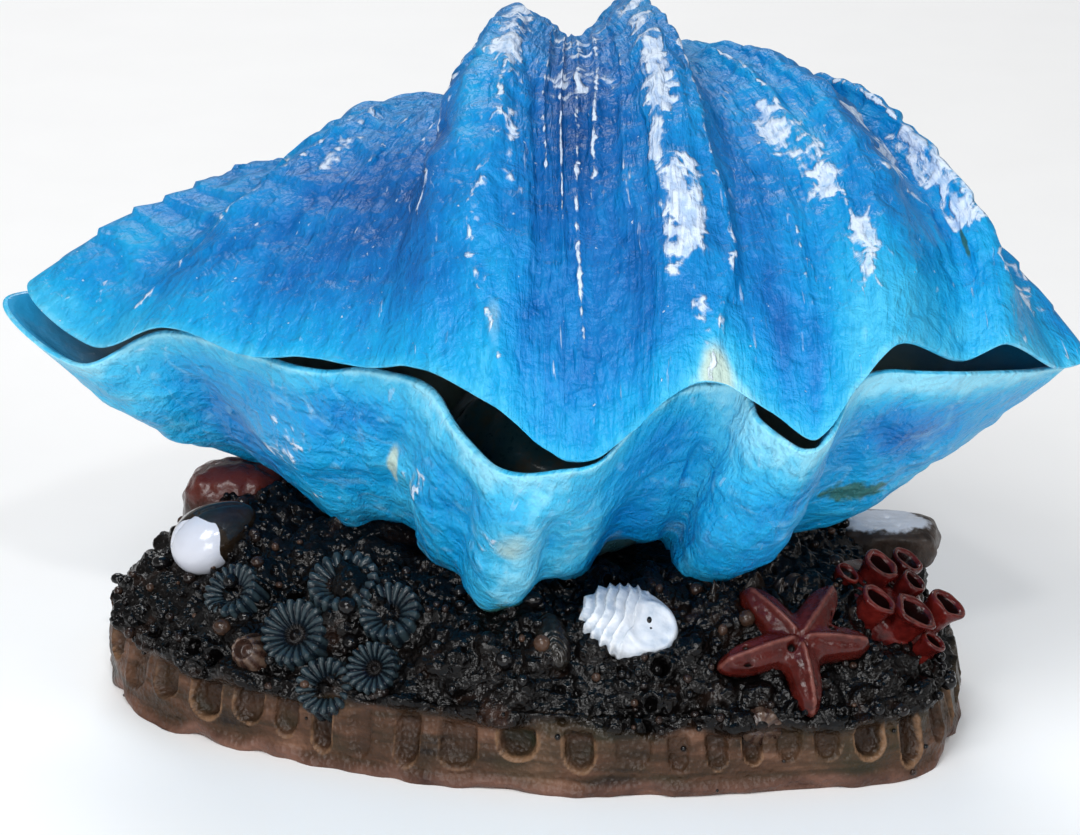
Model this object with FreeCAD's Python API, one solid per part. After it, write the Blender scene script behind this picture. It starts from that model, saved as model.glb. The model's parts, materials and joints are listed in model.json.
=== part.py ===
import FreeCAD, Part
import math
import os

# A resin giant-clam air bubbler for an aquarium. A deeply ribbed lower valve is
# sunk in a rock base, an upper valve is hinged to it at the back, and an air cup
# under the upper valve fills with air and lifts it.
# Millimetres. +Z is up, -Y is the front, where the mouth of the clam opens.

V = FreeCAD.Vector
UP = V(0, 0, 1)
# Moves the finished model so that its footprint is centred on the origin.
SHIFT = V(0.67, -3.32, 0.0)

# The lip of each valve, from the middle of the hinge round the left tip, the
# front and the right tip. Each station is x, y, z, how far the rib swells out,
# how fast the rib shrinks towards the beak, and how far it bows sideways.
UPPER_LIP = [
    (-4, 30, 46.9, 0, 0.80, 0), (-15, 29.8, 46.9, 0, 0.80, 0),
    (-31, 25, 46.0, 0.5, 0.84, 0), (-46, 15, 45.6, 0.5, 0.84, 0),
    (-59.5, 5, 46.0, 0, 0.80, -1), (-50, -6, 43.0, -1, 0.82, -1),
    (-40, -11, 46.5, 1.2, 0.785, 0), (-30, -18, 46.5, 0, 0.79, 0),
    (-23, -21, 48.0, -0.5, 0.84, 0), (-15, -25, 48.5, 0, 0.80, 0),
    (-8, -28, 48.8, 2.5, 0.62, -1), (0.5, -34, 47.0, 1, 0.67, 0),
    (5.5, -37, 45.0, -1.5, 0.68, 0), (10, -39, 45.0, -3, 0.69, 0),
    (14.5, -38, 47.4, -2, 0.67, 2), (18, -35, 49.5, 1, 0.65, 2),
    (22.5, -31, 50.0, 3.2, 0.63, 2), (28, -33, 48.7, 0, 0.71, 3),
    (33.5, -36, 47.5, -2.5, 0.75, 5), (37.5, -30, 50.3, 1, 0.76, 6),
    (41.7, -24, 52.5, 3, 0.73, 7), (47.5, -19, 50.2, -0.8, 0.73, 8),
    (52.4, -15, 50.2, 2, 0.66, 7), (57.6, -9, 46.4, -0.5, 0.65, 4),
    (60, -2, 46.0, 0.5, 0.62, 2), (47, 12, 46.0, 0.5, 0.68, 1),
    (25, 25, 46.0, 0.5, 0.76, 0), (7, 29.8, 46.9, 0, 0.80, 0),
]
LOWER_LIP = [
    (-4, 30, 43.1, 0, 0.60, 0), (-15, 29.8, 43.1, 0, 0.56, 0),
    (-31, 25, 43.6, 0.5, 0.50, 0), (-46, 15, 43.5, 0.5, 0.44, 0),
    (-62, 4, 44.5, 0.5, 0.44, 2), (-51.5, -6, 39.5, -0.5, 0.43, 2),
    (-40.5, -9, 44.6, -1, 0.34, 0), (-23.5, -19, 45.2, 0, 0.38, -2),
    (-16, -23, 46.2, -1, 0.44, -4), (-9, -27, 45.7, -1.5, 0.50, -5),
    (-5, -29.5, 43.0, 0, 0.53, -6), (0.5, -33, 41.7, 2, 0.54, -6),
    (7, -35, 43.0, 2.5, 0.56, -5), (11.4, -35.2, 43.3, 1, 0.59, -3),
    (15.3, -34, 46.2, -1, 0.57, -1), (20, -32, 48.0, -2.5, 0.54, 0),
    (24.7, -30.5, 48.0, -2, 0.58, 0), (27, -31.5, 46.4, 0, 0.58, 0),
    (32, -33, 45.6, 2, 0.62, 0), (35, -32.5, 46.4, 1, 0.60, 1),
    (38.2, -28, 49.3, -1.5, 0.55, 2), (47.3, -20, 48.6, 0, 0.51, 2),
    (55.5, -9.3, 45.0, -1, 0.50, 2), (58, -1, 44.6, 0.3, 0.50, 1),
    (46, 12, 44.3, 0.5, 0.50, 0), (25, 25, 43.8, 0.5, 0.56, 0),
    (7, 29.8, 43.1, 0, 0.60, 0),
]
UPPER_AXIS = V(-6, 32, 46)
LOWER_AXIS = V(-8, 32, 44)
UPPER_WRAP = math.radians(150)
UPPER_HOLLOW = math.radians(98)
LOWER_WRAP = math.radians(92)
LOWER_HOLLOW = math.radians(88)
LOWER_BACK_WALL = 2.4
LIP_WALL = 1.5
RIB_FADE = 0.4
BOW_START = 0.4
FOLLOW_LIP = math.radians(26)
MIDDLE = (0, -3)
HALF_WIDTH = 60
HALF_DEPTH = 34
AROUND = 132
ALONG = 22

# Rock base: its footprint at the table, and how the top climbs inwards.
FOOTPRINT = [
    (-51, 7), (-48.5, -4), (-41.5, -13), (-31, -18.5), (-20, -21.5), (-7, -24.8),
    (6, -25.6), (17, -24.8), (27, -22.6), (37, -19.5), (45, -13.5), (47.5, -4),
    (47.5, 7), (43, 19), (33, 27), (16, 31), (-2, 32), (-20, 31), (-36, 26), (-47, 18),
]
ROCK_CENTRE = (-2, 4)
ROCK_ROWS = [
    (0.975, 0), (0.992, 1.2), (1.0, 3.2), (0.995, 5.6), (0.985, 7.6), (0.955, 9.4),
    (0.90, 11.8), (0.84, 14.3), (0.78, 16.2), (0.72, 17.8), (0.66, 18.8), (0.60, 19.4),
    (0.52, 20.0), (0.44, 20.2), (0.34, 20.4), (0.22, 20.6), (0.08, 9.8),
]
BED_DEPTH = 1.4
FLUTES = 44
FLUTE_DEPTH = 0.55
BACK_SLOPE = 0.06

# Hinge at the back.
PIN_Y = 37.0
PIN_Z = 45.0
PIN_R = 1.2
PIN_BORE_R = 1.25
HINGE_X = -5.0
LEAF_HALF = 6.0
LUG_GAP = 0.5
LUG_THICK = 2.6
LUG_R = 2.9
KNUCKLE_R = 2.6
LEAF_SLOPE = 30.0
STOP_REACH = 6.0

# Air path: barbed inlet, riser tube, nozzle and the cup it bubbles into.
AIR_X = 4.0
AIR_Y = 4.0
AIR_Z = 5.6
TUBE_R = 3.0
TUBE_BORE_R = 2.0
TUBE_TOP = 43.0
ELBOW_R = 5.0
ROCK_BACK_Y = 29.0
BARB_R = 2.1
BARB_LENGTH = 9.0
NOZZLE_R = 3.9
CUP_CENTRE = V(4, -2, 0)
CUP_HALF = (20.0, 13.5)
CUP_BOTTOM = 44.5
CUP_TOP = 58.6
CUP_WALL = 1.2
BODY_CENTRE = V(2, 2, 28)
BODY_RADII = (15.0, 13.0, 11.0)

# Sea life: ray angle and length; cup x, y, radius, height; leaf x, y, height,
# lean; and where each rosette coral sits, with its radius.
STARFISH_RAYS = [(12, 8.0), (62, 8.5), (133, 8.0), (205, 8.5), (285, 7.5)]
CORAL_CUPS = [
    (0, 0, 2.0, 3.0), (4.2, -3.6, 2.4, 3.0), (6.6, 0.6, 1.8, 3.2),
    (2.4, 4.2, 1.6, 2.8), (1.0, -5.0, 2.0, 2.6),
]
LEAVES = [
    (-6, 0, 4.0, -0.3), (-3.2, 0.5, 5.0, -0.1), (-0.5, 0, 5.2, 0.1),
    (2.2, 0.4, 4.4, 0.0), (4.8, 0, 4.6, 0.1),
]
STAR_CORALS = [
    (-20, -12, 3.4), (-24.8, -15.2, 3.2), (-14.2, -15.2, 2.9),
    (-15.6, -19.3, 2.5), (-33, -10, 2.9), (-20.8, -19.3, 2.7),
]


def blend(edge0, edge1, value):
    t = min(max((value - edge0) / (edge1 - edge0), 0.0), 1.0)
    return t * t * (3 - 2 * t)


def along_loop(stations, t):
    """Smooth closed curve through the stations; t counts stations."""
    n = len(stations)
    i = int(math.floor(t)) % n
    f = t - math.floor(t)
    p = [stations[(i + step) % n] for step in (-1, 0, 1, 2)]
    out = []
    for a, b, c, d in zip(*p):
        curve = 2 * b + (c - a) * f + (2 * a - 5 * b + 4 * c - d) * f * f
        out.append(0.5 * (curve + (3 * b - a - 3 * c + d) * f ** 3))
    return out


def average_loop(stations, t):
    """The same curve with the ribs smoothed away."""
    steps = [along_loop(stations, t + 0.4 * step) for step in range(-4, 5)]
    return [sum(column) / len(steps) for column in zip(*steps)]


def valve_point(stations, axis, side, t, turn, wrap):
    """Outside of a valve: the lip shrinks as it rolls about the hinge line."""
    x, y, z, swell, rate, bow = along_loop(stations, t)
    k = math.exp(-rate * turn)
    lean = math.atan2(1, rate)
    rib = swell * k ** RIB_FADE
    level = 1 - (turn / wrap) ** 5
    forward = k * (axis.y - y) + rib * math.sin(lean)
    height = (k * (z - axis.z) * side + rib * math.cos(lean)) * level
    shift = bow * 4 * (k - BOW_START) * (1 - k) / (1 - BOW_START) ** 2
    side_x = axis.x + k * (x - axis.x) + (shift if k > BOW_START else 0)
    return roll(side_x, forward, height, axis, side, turn)


def roll(x, forward, height, axis, side, turn):
    reach = forward * math.cos(turn) - height * math.sin(turn)
    rise = height * math.cos(turn) + forward * math.sin(turn)
    return V(x, axis.y - reach, axis.z + side * rise)


def hollow_point(stations, axis, side, t, turn, wrap, back_wall):
    """Inside of a valve: an even wall at the lip, a plain hollow further in."""
    m = blend(0, FOLLOW_LIP, turn)
    x, y, z, swell, rate, bow = along_loop(stations, t)
    before, after = along_loop(stations, t - 0.25), along_loop(stations, t + 0.25)
    soft = average_loop(stations, t)
    along = V(after[0] - before[0], after[1] - before[1], 0)
    inward = V(-along.y, along.x, 0).normalize() * LIP_WALL
    k = math.exp(-rate * turn)
    lean = math.atan2(1, rate)
    wall = 1.9 + 2.6 * k + 1.6 * k ** RIB_FADE
    narrow = 1 - 1.6 * wall / (HALF_WIDTH * k)
    shallow = 1 - wall / (HALF_DEPTH * k)
    near_x = x + inward.x
    near_y = y + inward.y
    deep_x = MIDDLE[0] + narrow * (soft[0] - MIDDLE[0])
    deep_y = MIDDLE[1] + shallow * (soft[1] - MIDDLE[1])
    rib = swell * k ** RIB_FADE * (1 - m)
    level = 1 - (turn / wrap) ** 5
    forward = k * (axis.y - (1 - m) * near_y - m * deep_y) + rib * math.sin(lean)
    rise = (1 - m) * z + m * soft[2] - axis.z
    height = (k * rise * side + rib * math.cos(lean)) * level
    shift = bow * 4 * (k - BOW_START) * (1 - k) / (1 - BOW_START) ** 2
    side_x = axis.x + k * ((1 - m) * near_x + m * deep_x - axis.x)
    side_x += shift if k > BOW_START else 0
    point = roll(side_x, forward, height, axis, side, turn)
    step = back_wall * turn / wrap
    return point + V(0, -step * math.sin(turn), -side * step * math.cos(turn))


def skin(rows):
    """A smooth tube-like face through closed loops of points."""
    degree = min(3, len(rows) - 1)
    inner = len(rows) - degree - 1
    ends = [degree + 1] + [1] * inner + [degree + 1]
    count = len(rows[0])
    surface = Part.BSplineSurface()
    surface.buildFromPolesMultsKnots(
        rows, ends, [1] * (count + 1), list(range(len(ends))),
        list(range(count + 1)), False, True, degree, 3)
    return surface.toShape()


def flat_cap(loop):
    curve = Part.BSplineCurve()
    count = len(loop)
    curve.buildFromPolesMultsKnots(
        loop, [1] * (count + 1), list(range(count + 1)), True, 3)
    return Part.Face(Part.Wire(curve.toShape()))


def close_up(faces):
    skin_set = Part.makeCompound(faces)
    skin_set.sewShape(1e-4)
    solid = Part.Solid(skin_set.Shells[0])
    if solid.Volume < 0:
        solid.reverse()
    return solid


def valve(stations, axis, side, wrap, hollow, back_wall):
    """One valve as a solid, and the points of its outside."""
    count = len(stations)
    outside = []
    inside = []
    for j in range(ALONG):
        f = j / (ALONG - 1)
        loop = [count * i / AROUND for i in range(AROUND)]
        outside.append([valve_point(stations, axis, side, t, wrap * f, wrap) for t in loop])
        inside.append([hollow_point(stations, axis, side, t, hollow * f, hollow, back_wall)
                       for t in loop])
    shell = close_up([skin(outside), skin(inside), skin([outside[0], inside[0]]),
                      flat_cap(outside[-1]), flat_cap(inside[-1])])
    return shell, [point for row in outside[3:] for point in row]


def footprint_radius(angle):
    """Distance from the rock's centre to its edge, along an angle."""
    n = len(FOOTPRINT)
    best = None
    cx, cy = ROCK_CENTRE
    for i in range(n * 6):
        x, y = along_loop(FOOTPRINT, i / 6)
        turn = math.atan2(y - cy, x - cx) - angle
        gap = abs(math.atan2(math.sin(turn), math.cos(turn)))
        if best is None or gap < best[0]:
            best = (gap, math.hypot(x - cx, y - cy))
    return best[1]


def rock_height(scale):
    """Height of the rock's top at a fraction of the way out to its edge."""
    rows = ROCK_ROWS[4:]
    for (outer, low), (inner, high) in zip(rows, rows[1:]):
        if scale >= inner:
            f = (outer - scale) / (outer - inner)
            return low + (high - low) * max(f, 0)
    return rows[-1][1]


def rock_top(x, y):
    cx, cy = ROCK_CENTRE
    radius = footprint_radius(math.atan2(y - cy, x - cx))
    return rock_height(math.hypot(x - cx, y - cy) / radius) + BACK_SLOPE * y


def rock(bed):
    """The rock, hollowed where the lower valve beds into it."""
    cx, cy = ROCK_CENTRE
    rows = []
    count = 176
    for scale, z in ROCK_ROWS:
        loop = []
        for i in range(count):
            x, y = along_loop(FOOTPRINT, len(FOOTPRINT) * i / count)
            ripple = FLUTE_DEPTH * math.cos(2 * math.pi * FLUTES * i / count)
            side = 1 - blend(6, 10, z)
            foot = blend(0, 1.2, z)
            reach = math.hypot(x - cx, y - cy)
            grow = scale * (1 + ripple * side * foot / reach)
            point = V(cx + grow * (x - cx), cy + grow * (y - cy), z)
            if 0.1 < scale < 0.96:
                point.z = min(z + BACK_SLOPE * point.y, bed_height(bed, point) + BED_DEPTH)
            loop.append(point)
        rows.append(loop)
    return close_up([skin(rows), flat_cap(rows[0]), flat_cap(rows[-1])])


def bed_height(bed, point):
    """Height of the valve's underside over a point, high up outside it."""
    near = min(bed, key=lambda p: (p.x - point.x) ** 2 + (p.y - point.y) ** 2)
    beyond = math.hypot(near.x - point.x, near.y - point.y)
    return near.z + max(beyond - 1.5, 0) * 6


def cylinder(radius, start, axis, length):
    return Part.makeCylinder(radius, length, start, axis)


def ball(centre, radii):
    """An ellipsoid."""
    shape = Part.makeSphere(1.0)
    grow = FreeCAD.Matrix()
    grow.scale(V(*radii))
    shape = shape.transformGeometry(grow)
    shape.translate(centre)
    return shape


def rounded_plan(half_x, half_y, z0, z1, edge):
    """A block with an oblong plan, its upright edges and one end rounded."""
    block = Part.makeBox(2 * half_x, 2 * half_y, z1 - z0, V(-half_x, -half_y, z0))
    upright = [e for e in block.Edges if abs(e.tangentAt(e.FirstParameter).z) > 0.9]
    block = block.makeFillet(half_y - 1.5, upright)
    top = [e for e in block.Edges if e.BoundBox.ZMin > z1 - 0.01]
    return block.makeFillet(edge, top)


def stand(shape, x, y, lift=0.0, spin=0.0, tilt=None):
    """Puts a decoration on the rock, square to the slope under it."""
    step = 1.5
    slope_x = (rock_top(x + step, y) - rock_top(x - step, y)) / (2 * step)
    slope_y = (rock_top(x, y + step) - rock_top(x, y - step)) / (2 * step)
    normal = V(-slope_x, -slope_y, 1).normalize() if tilt is None else V(*tilt).normalize()
    place = V(x, y, rock_top(x, y)) + normal * lift
    turn = FreeCAD.Rotation(UP, normal) * FreeCAD.Rotation(UP, spin)
    moved = shape.copy()
    moved.Placement = FreeCAD.Placement(place, turn)
    return moved


def starfish(arms):
    """Rays that taper from a round middle, cut flat underneath."""
    rays = []
    for angle, length in arms:
        ray = Part.makeCone(2.5, 0.9, length, V(0, 0, 0), V(1, 0, 0))
        tip = Part.makeSphere(0.9, V(length, 0, 0))
        for piece in (ray, tip):
            piece.rotate(V(0, 0, 0), UP, angle)
            rays.append(piece)
    below = Part.makeBox(60, 60, 10, V(-30, -30, -10.8))
    return Part.makeSphere(2.9).fuse(rays).cut(below)


def star_coral(radius):
    """A low round coral with a fluted rim and a hollow in the middle."""
    disc = Part.makeCone(radius, radius * 0.72, 2.4, V(0, 0, -1.0))
    notches = []
    for i in range(14):
        angle = 2 * math.pi * i / 14
        rim = V(radius * math.cos(angle), radius * math.sin(angle), -1.5)
        notches.append(cylinder(0.38, rim, UP, 5))
    cup = Part.makeCone(0.5, radius * 0.42, 1.0, V(0, 0, 0.5))
    return disc.cut(notches + [cup])


def tube_coral(cups):
    tubes = [Part.makeCone(7.5, 5.5, 3.6, V(2.6, -0.4, -2.6))]
    bores = []
    for x, y, radius, height in cups:
        tubes.append(Part.makeCone(radius * 0.85, radius, height + 3, V(x, y, -3)))
        bores.append(Part.makeCone(radius * 0.35, radius * 0.62, 1.6, V(x, y, height - 1.55)))
    return tubes[0].fuse(tubes[1:]).cut(bores)


def scallop():
    """A small fan shell with grooves between its ribs."""
    fan = ball(V(0, 0, 0), (5.6, 4.1, 2.3))
    below = Part.makeBox(20, 20, 10, V(-10, -10, -10.9))
    grooves = []
    for i in range(6):
        angle = math.radians(150 + 11 * i)
        away = V(math.cos(angle), math.sin(angle), 0)
        grooves.append(cylinder(0.34, V(3.6, -1.2, 2.25), away, 12))
    return fan.cut([below] + grooves)


def cowrie():
    shell = ball(V(0, 0, 0), (5.4, 4.3, 3.6))
    slot = cylinder(0.35, V(-4, 0, 3.35), V(1, 0, 0), 8)
    return shell.cut(slot)


def leaf_coral(blades):
    leaves = []
    for x, y, height, lean in blades:
        leaf = Part.makeCone(1.5, 0.3, height + 3, V(x, y, -3), V(lean, -0.25, 1))
        leaves.append(leaf)
    return leaves[0].fuse(leaves[1:])


def barnacle(radius, height):
    cone = Part.makeCone(radius, radius * 0.6, height + 1.5, V(0, 0, -1.5))
    mouth = Part.makeCone(radius * 0.2, radius * 0.42, 1.2, V(0, 0, height - 1.15))
    return cone.cut(mouth)


def air_riser():
    """One rigid elbow: in from the back of the rock, then straight up."""
    inlet = V(AIR_X, ROCK_BACK_Y - 4, AIR_Z)
    corner = V(AIR_X, AIR_Y + ELBOW_R, AIR_Z)
    middle = V(AIR_X, AIR_Y + ELBOW_R * (1 - math.sqrt(0.5)),
               AIR_Z + ELBOW_R * (1 - math.sqrt(0.5)))
    rise = V(AIR_X, AIR_Y, AIR_Z + ELBOW_R)
    top = V(AIR_X, AIR_Y, TUBE_TOP)
    path = Part.Wire([Part.makeLine(inlet, corner), Part.Arc(corner, middle, rise).toShape(),
                      Part.makeLine(rise, top)])
    outer = Part.Wire(Part.makeCircle(TUBE_R, inlet, V(0, -1, 0)))
    bore = Part.Wire(Part.makeCircle(TUBE_BORE_R, inlet, V(0, -1, 0)))
    return path.makePipeShell([outer], True, True), path.makePipeShell([bore], True, True)


def inlet_barb():
    face = ROCK_BACK_Y - 4
    start = V(AIR_X, face, AIR_Z)
    back = V(0, 1, 0)
    collar = cylinder(TUBE_R, start, back, 7.6)
    spigot = cylinder(BARB_R, start + back * 7.6, back, BARB_LENGTH)
    plug = cylinder(TUBE_BORE_R, start - back * 4, back, 4)
    return collar.fuse([spigot, plug]).cut(cylinder(1.2, start - back * 5, back, 40))


def air_nozzle():
    base = V(AIR_X, AIR_Y, TUBE_TOP - 3)
    cap = cylinder(NOZZLE_R, base, UP, 5)
    socket = cylinder(TUBE_R, base, UP, 3)
    hole = cylinder(0.8, base, UP, 9)
    return cap.cut([socket, hole])


def air_cup():
    """An upturned cup that traps air; two bosses reach up to the valve."""
    outer = rounded_plan(CUP_HALF[0], CUP_HALF[1], CUP_BOTTOM, CUP_TOP, 3.5)
    inner = rounded_plan(CUP_HALF[0] - CUP_WALL, CUP_HALF[1] - CUP_WALL,
                         CUP_BOTTOM - 1, CUP_TOP - CUP_WALL, 2.4)
    bosses = [cylinder(3.0, V(x, 3, CUP_TOP - 0.5), UP, 13) for x in (-9, 9)]
    cup = outer.fuse(bosses).cut(inner)
    cup.translate(CUP_CENTRE)
    return cup


def hinge_bracket():
    """Plate glued to the back of the lower valve, with two pin lugs."""
    inner = LEAF_HALF + LUG_GAP
    wide = inner + LUG_THICK
    plate = Part.makeBox(2 * wide, 2.1, 15, V(HINGE_X - wide, 31.3, 28))
    lugs = []
    holes = []
    for x in (HINGE_X - wide, HINGE_X + inner):
        lug = cylinder(LUG_R, V(x, PIN_Y, PIN_Z), V(1, 0, 0), LUG_THICK)
        web = Part.makeBox(LUG_THICK, PIN_Y + LUG_R - 32.3, 8, V(x, 32.3, 32))
        neck = Part.makeBox(LUG_THICK, 2 * LUG_R, PIN_Z - 38, V(x, PIN_Y - LUG_R, 38))
        lugs += [lug, web, neck]
        holes.append(cylinder(PIN_BORE_R, V(x - 1, PIN_Y, PIN_Z), V(1, 0, 0), LUG_THICK + 2))
    return plate.fuse(lugs).cut(holes)


def hinge_pin():
    wide = LEAF_HALF + LUG_GAP + LUG_THICK
    start = V(HINGE_X - wide - 0.4, PIN_Y, PIN_Z)
    rod = cylinder(PIN_R, start, V(1, 0, 0), 2 * wide + 2.2)
    head = cylinder(2.2, start - V(1.2, 0, 0), V(1, 0, 0), 1.2)
    return rod.fuse(head)


def pin_cap():
    wide = LEAF_HALF + LUG_GAP + LUG_THICK
    start = V(HINGE_X + wide + 0.4, PIN_Y, PIN_Z)
    cap = cylinder(2.2, start, V(1, 0, 0), 2.4)
    return cap.cut(cylinder(PIN_R, start, V(1, 0, 0), 1.4))


def lid_leaf():
    """Leaf glued under the beak of the upper valve; it turns on the pin and
    carries the tongue that stops the lid."""
    slope = math.radians(LEAF_SLOPE)
    knuckle = cylinder(KNUCKLE_R, V(HINGE_X - LEAF_HALF, PIN_Y, PIN_Z), V(1, 0, 0),
                       2 * LEAF_HALF)
    plate = Part.makeBox(2 * LEAF_HALF, 9.0, 2.0, V(HINGE_X - LEAF_HALF, 0, -2.0))
    plate.rotate(V(0, 0, 0), V(1, 0, 0), LEAF_SLOPE)
    plate.translate(UPPER_AXIS - V(UPPER_AXIS.x, 0, 0) + V(0, math.cos(slope), math.sin(slope)))
    tongue = Part.makeBox(2 * LEAF_HALF - 2, 1.6, STOP_REACH,
                          V(HINGE_X - LEAF_HALF + 1, PIN_Y - 0.8, PIN_Z - STOP_REACH))
    bore = cylinder(PIN_BORE_R, V(HINGE_X - 20, PIN_Y, PIN_Z), V(1, 0, 0), 40)
    return knuckle.fuse([plate, tongue]).cut(bore)


def decorations():
    """Small sea life cast into the front of the rock."""
    pieces = {
        "starfish": stand(starfish(STARFISH_RAYS), 30, -15.5, 0.4, 10),
        "cowrie_shell": stand(cowrie(), -37, -1, 1.2, 150),
        "red_stone": ball(V(-37.6, 12, 16.8), (6.5, 6.0, 6.0)),
        "flat_stone": ball(V(38.5, 15, 16.0), (6.0, 4.5, 2.6)),
        "white_scallop": stand(scallop(), 12, -16.5, 1.0, 160),
        "dark_mussel": stand(ball(V(0, 0, 0), (1.7, 3.2, 1.5)), 4.2, -19, 0.6, 20),
        "tube_coral": stand(tube_coral(CORAL_CUPS), 37.5, -1.5, 0.8),
        "leaf_coral": stand(leaf_coral(LEAVES), 26, -9.6, -2, 25, (0, 0, 1)),
        "front_barnacle": stand(barnacle(1.9, 1.6), 27.5, -21.2),
        "left_barnacle": stand(barnacle(2.3, 2.2), -30, -16),
    }
    for number, (x, y, radius) in enumerate(STAR_CORALS, 1):
        pieces["star_coral_%d" % number] = stand(star_coral(radius), x, y, 0.3, 12 * number)
    return pieces


upper_valve, _ = valve(UPPER_LIP, UPPER_AXIS, 1, UPPER_WRAP, UPPER_HOLLOW, 0)
lower_valve, underside = valve(LOWER_LIP, LOWER_AXIS, -1, LOWER_WRAP, LOWER_HOLLOW,
                               LOWER_BACK_WALL)
riser, riser_bore = air_riser()
barb = inlet_barb()
drilled_rock = rock(underside).cut([riser, barb])

nodes = {
    # The drilling leaves a loose crumb inside the inlet, so the largest solid is the rock.
    "rock_base": max(drilled_rock.Solids, key=lambda solid: solid.Volume),
    "lower_valve": lower_valve.cut(riser),
    "clam_body": ball(BODY_CENTRE, BODY_RADII).cut(riser),
    "hinge_bracket": hinge_bracket(),
    "hinge_pin": hinge_pin(),
    "pin_cap": pin_cap(),
    "air_riser": riser.cut([riser_bore, barb]),
    "air_inlet_barb": barb,
    "air_nozzle": air_nozzle(),
    "upper_valve": upper_valve,
    "air_cup": air_cup(),
    "lid_leaf": lid_leaf(),
}
nodes.update(decorations())

os.makedirs("parts", exist_ok=True)
for name, shape in nodes.items():
    placed = shape.copy()
    placed.translate(SHIFT)
    placed.exportStep("parts/%s.step" % name)
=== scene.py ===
"""Looks of a giant-clam air bubbler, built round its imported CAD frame.

Shapes are laid out in millimetres from PLACE, a point found from the lid's hinge,
and turned into metres when a mesh is made. +Z is up and -Y is the front.
"""
import json
import math

import bmesh
import bpy
import numpy as np
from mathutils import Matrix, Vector, kdtree


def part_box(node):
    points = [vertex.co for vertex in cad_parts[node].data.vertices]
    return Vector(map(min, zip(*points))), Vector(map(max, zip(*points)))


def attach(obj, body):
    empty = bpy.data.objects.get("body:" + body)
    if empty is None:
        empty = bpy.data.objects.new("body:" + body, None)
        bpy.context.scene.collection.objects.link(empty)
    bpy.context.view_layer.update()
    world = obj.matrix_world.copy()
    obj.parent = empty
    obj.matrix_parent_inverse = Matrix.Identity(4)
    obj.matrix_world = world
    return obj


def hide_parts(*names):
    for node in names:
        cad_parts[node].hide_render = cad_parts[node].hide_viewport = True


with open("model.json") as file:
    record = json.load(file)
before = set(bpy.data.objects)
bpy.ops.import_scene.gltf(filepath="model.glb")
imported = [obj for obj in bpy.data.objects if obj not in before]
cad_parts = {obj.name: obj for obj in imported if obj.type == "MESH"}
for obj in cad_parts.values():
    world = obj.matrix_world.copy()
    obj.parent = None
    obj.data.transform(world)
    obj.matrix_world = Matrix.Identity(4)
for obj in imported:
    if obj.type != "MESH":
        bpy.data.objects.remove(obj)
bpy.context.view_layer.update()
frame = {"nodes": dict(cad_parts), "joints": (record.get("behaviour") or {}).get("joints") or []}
MM = 0.001

HINGE_PIN = np.array([-5.0, 37.0, 45.0])
PLACE = np.array(frame["joints"][0]["pos_m"]) - HINGE_PIN * MM

# Valve lips from the middle of the hinge round the left tip, the front and the
# right tip: x, y, z, rib swell, growth rate and sideways bow of each station.
UPPER_LIP = np.array([
    (-4, 30, 46.9, 0, 0.80, 0), (-15, 29.8, 46.9, 0, 0.80, 0),
    (-31, 25, 46.0, 0.5, 0.84, 0), (-46, 15, 45.6, 0.5, 0.84, 0),
    (-59.5, 5, 46.0, 0, 0.80, -1), (-50, -6, 43.0, -1, 0.82, -1),
    (-40, -11, 46.5, 1.2, 0.785, 0), (-30, -18, 46.5, 0, 0.79, 0),
    (-23, -21, 48.0, -0.5, 0.84, 0), (-15, -25, 48.5, 0, 0.80, 0),
    (-8, -28, 48.8, 2.5, 0.62, -1), (0.5, -34, 47.0, 1, 0.67, 0),
    (5.5, -37, 45.0, -1.5, 0.68, 0), (10, -39, 45.0, -3, 0.69, 0),
    (14.5, -38, 47.4, -2, 0.67, 2), (18, -35, 49.5, 1, 0.65, 2),
    (22.5, -31, 50.0, 3.2, 0.63, 2), (28, -33, 48.7, 0, 0.71, 3),
    (33.5, -36, 47.5, -2.5, 0.75, 5), (37.5, -30, 50.3, 1, 0.76, 6),
    (41.7, -24, 52.5, 3, 0.73, 7), (47.5, -19, 50.2, -0.8, 0.73, 8),
    (52.4, -15, 50.2, 2, 0.66, 7), (57.6, -9, 46.4, -0.5, 0.65, 4),
    (60, -2, 46.0, 0.5, 0.62, 2), (47, 12, 46.0, 0.5, 0.68, 1),
    (25, 25, 46.0, 0.5, 0.76, 0), (7, 29.8, 46.9, 0, 0.80, 0),
])
LOWER_LIP = np.array([
    (-4, 30, 43.1, 0, 0.60, 0), (-15, 29.8, 43.1, 0, 0.56, 0),
    (-31, 25, 43.6, 0.5, 0.50, 0), (-46, 15, 43.5, 0.5, 0.44, 0),
    (-62, 4, 44.5, 0.5, 0.44, 2), (-51.5, -6, 39.5, -0.5, 0.43, 2),
    (-40.5, -9, 44.6, -1, 0.34, 0), (-23.5, -19, 45.2, 0, 0.38, -2),
    (-16, -23, 46.2, -1, 0.44, -4), (-9, -27, 45.7, -1.5, 0.50, -5),
    (-5, -29.5, 43.0, 0, 0.53, -6), (0.5, -33, 41.7, 2, 0.54, -6),
    (7, -35, 43.0, 2.5, 0.56, -5), (11.4, -35.2, 43.3, 1, 0.59, -3),
    (15.3, -34, 46.2, -1, 0.57, -1), (20, -32, 48.0, -2.5, 0.54, 0),
    (24.7, -30.5, 48.0, -2, 0.58, 0), (27, -31.5, 46.4, 0, 0.58, 0),
    (32, -33, 45.6, 2, 0.62, 0), (35, -32.5, 46.4, 1, 0.60, 1),
    (38.2, -28, 49.3, -1.5, 0.55, 2), (47.3, -20, 48.6, 0, 0.51, 2),
    (55.5, -9.3, 45.0, -1, 0.50, 2), (58, -1, 44.6, 0.3, 0.50, 1),
    (46, 12, 44.3, 0.5, 0.50, 0), (25, 25, 43.8, 0.5, 0.56, 0),
    (7, 29.8, 43.1, 0, 0.60, 0),
])
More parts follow.
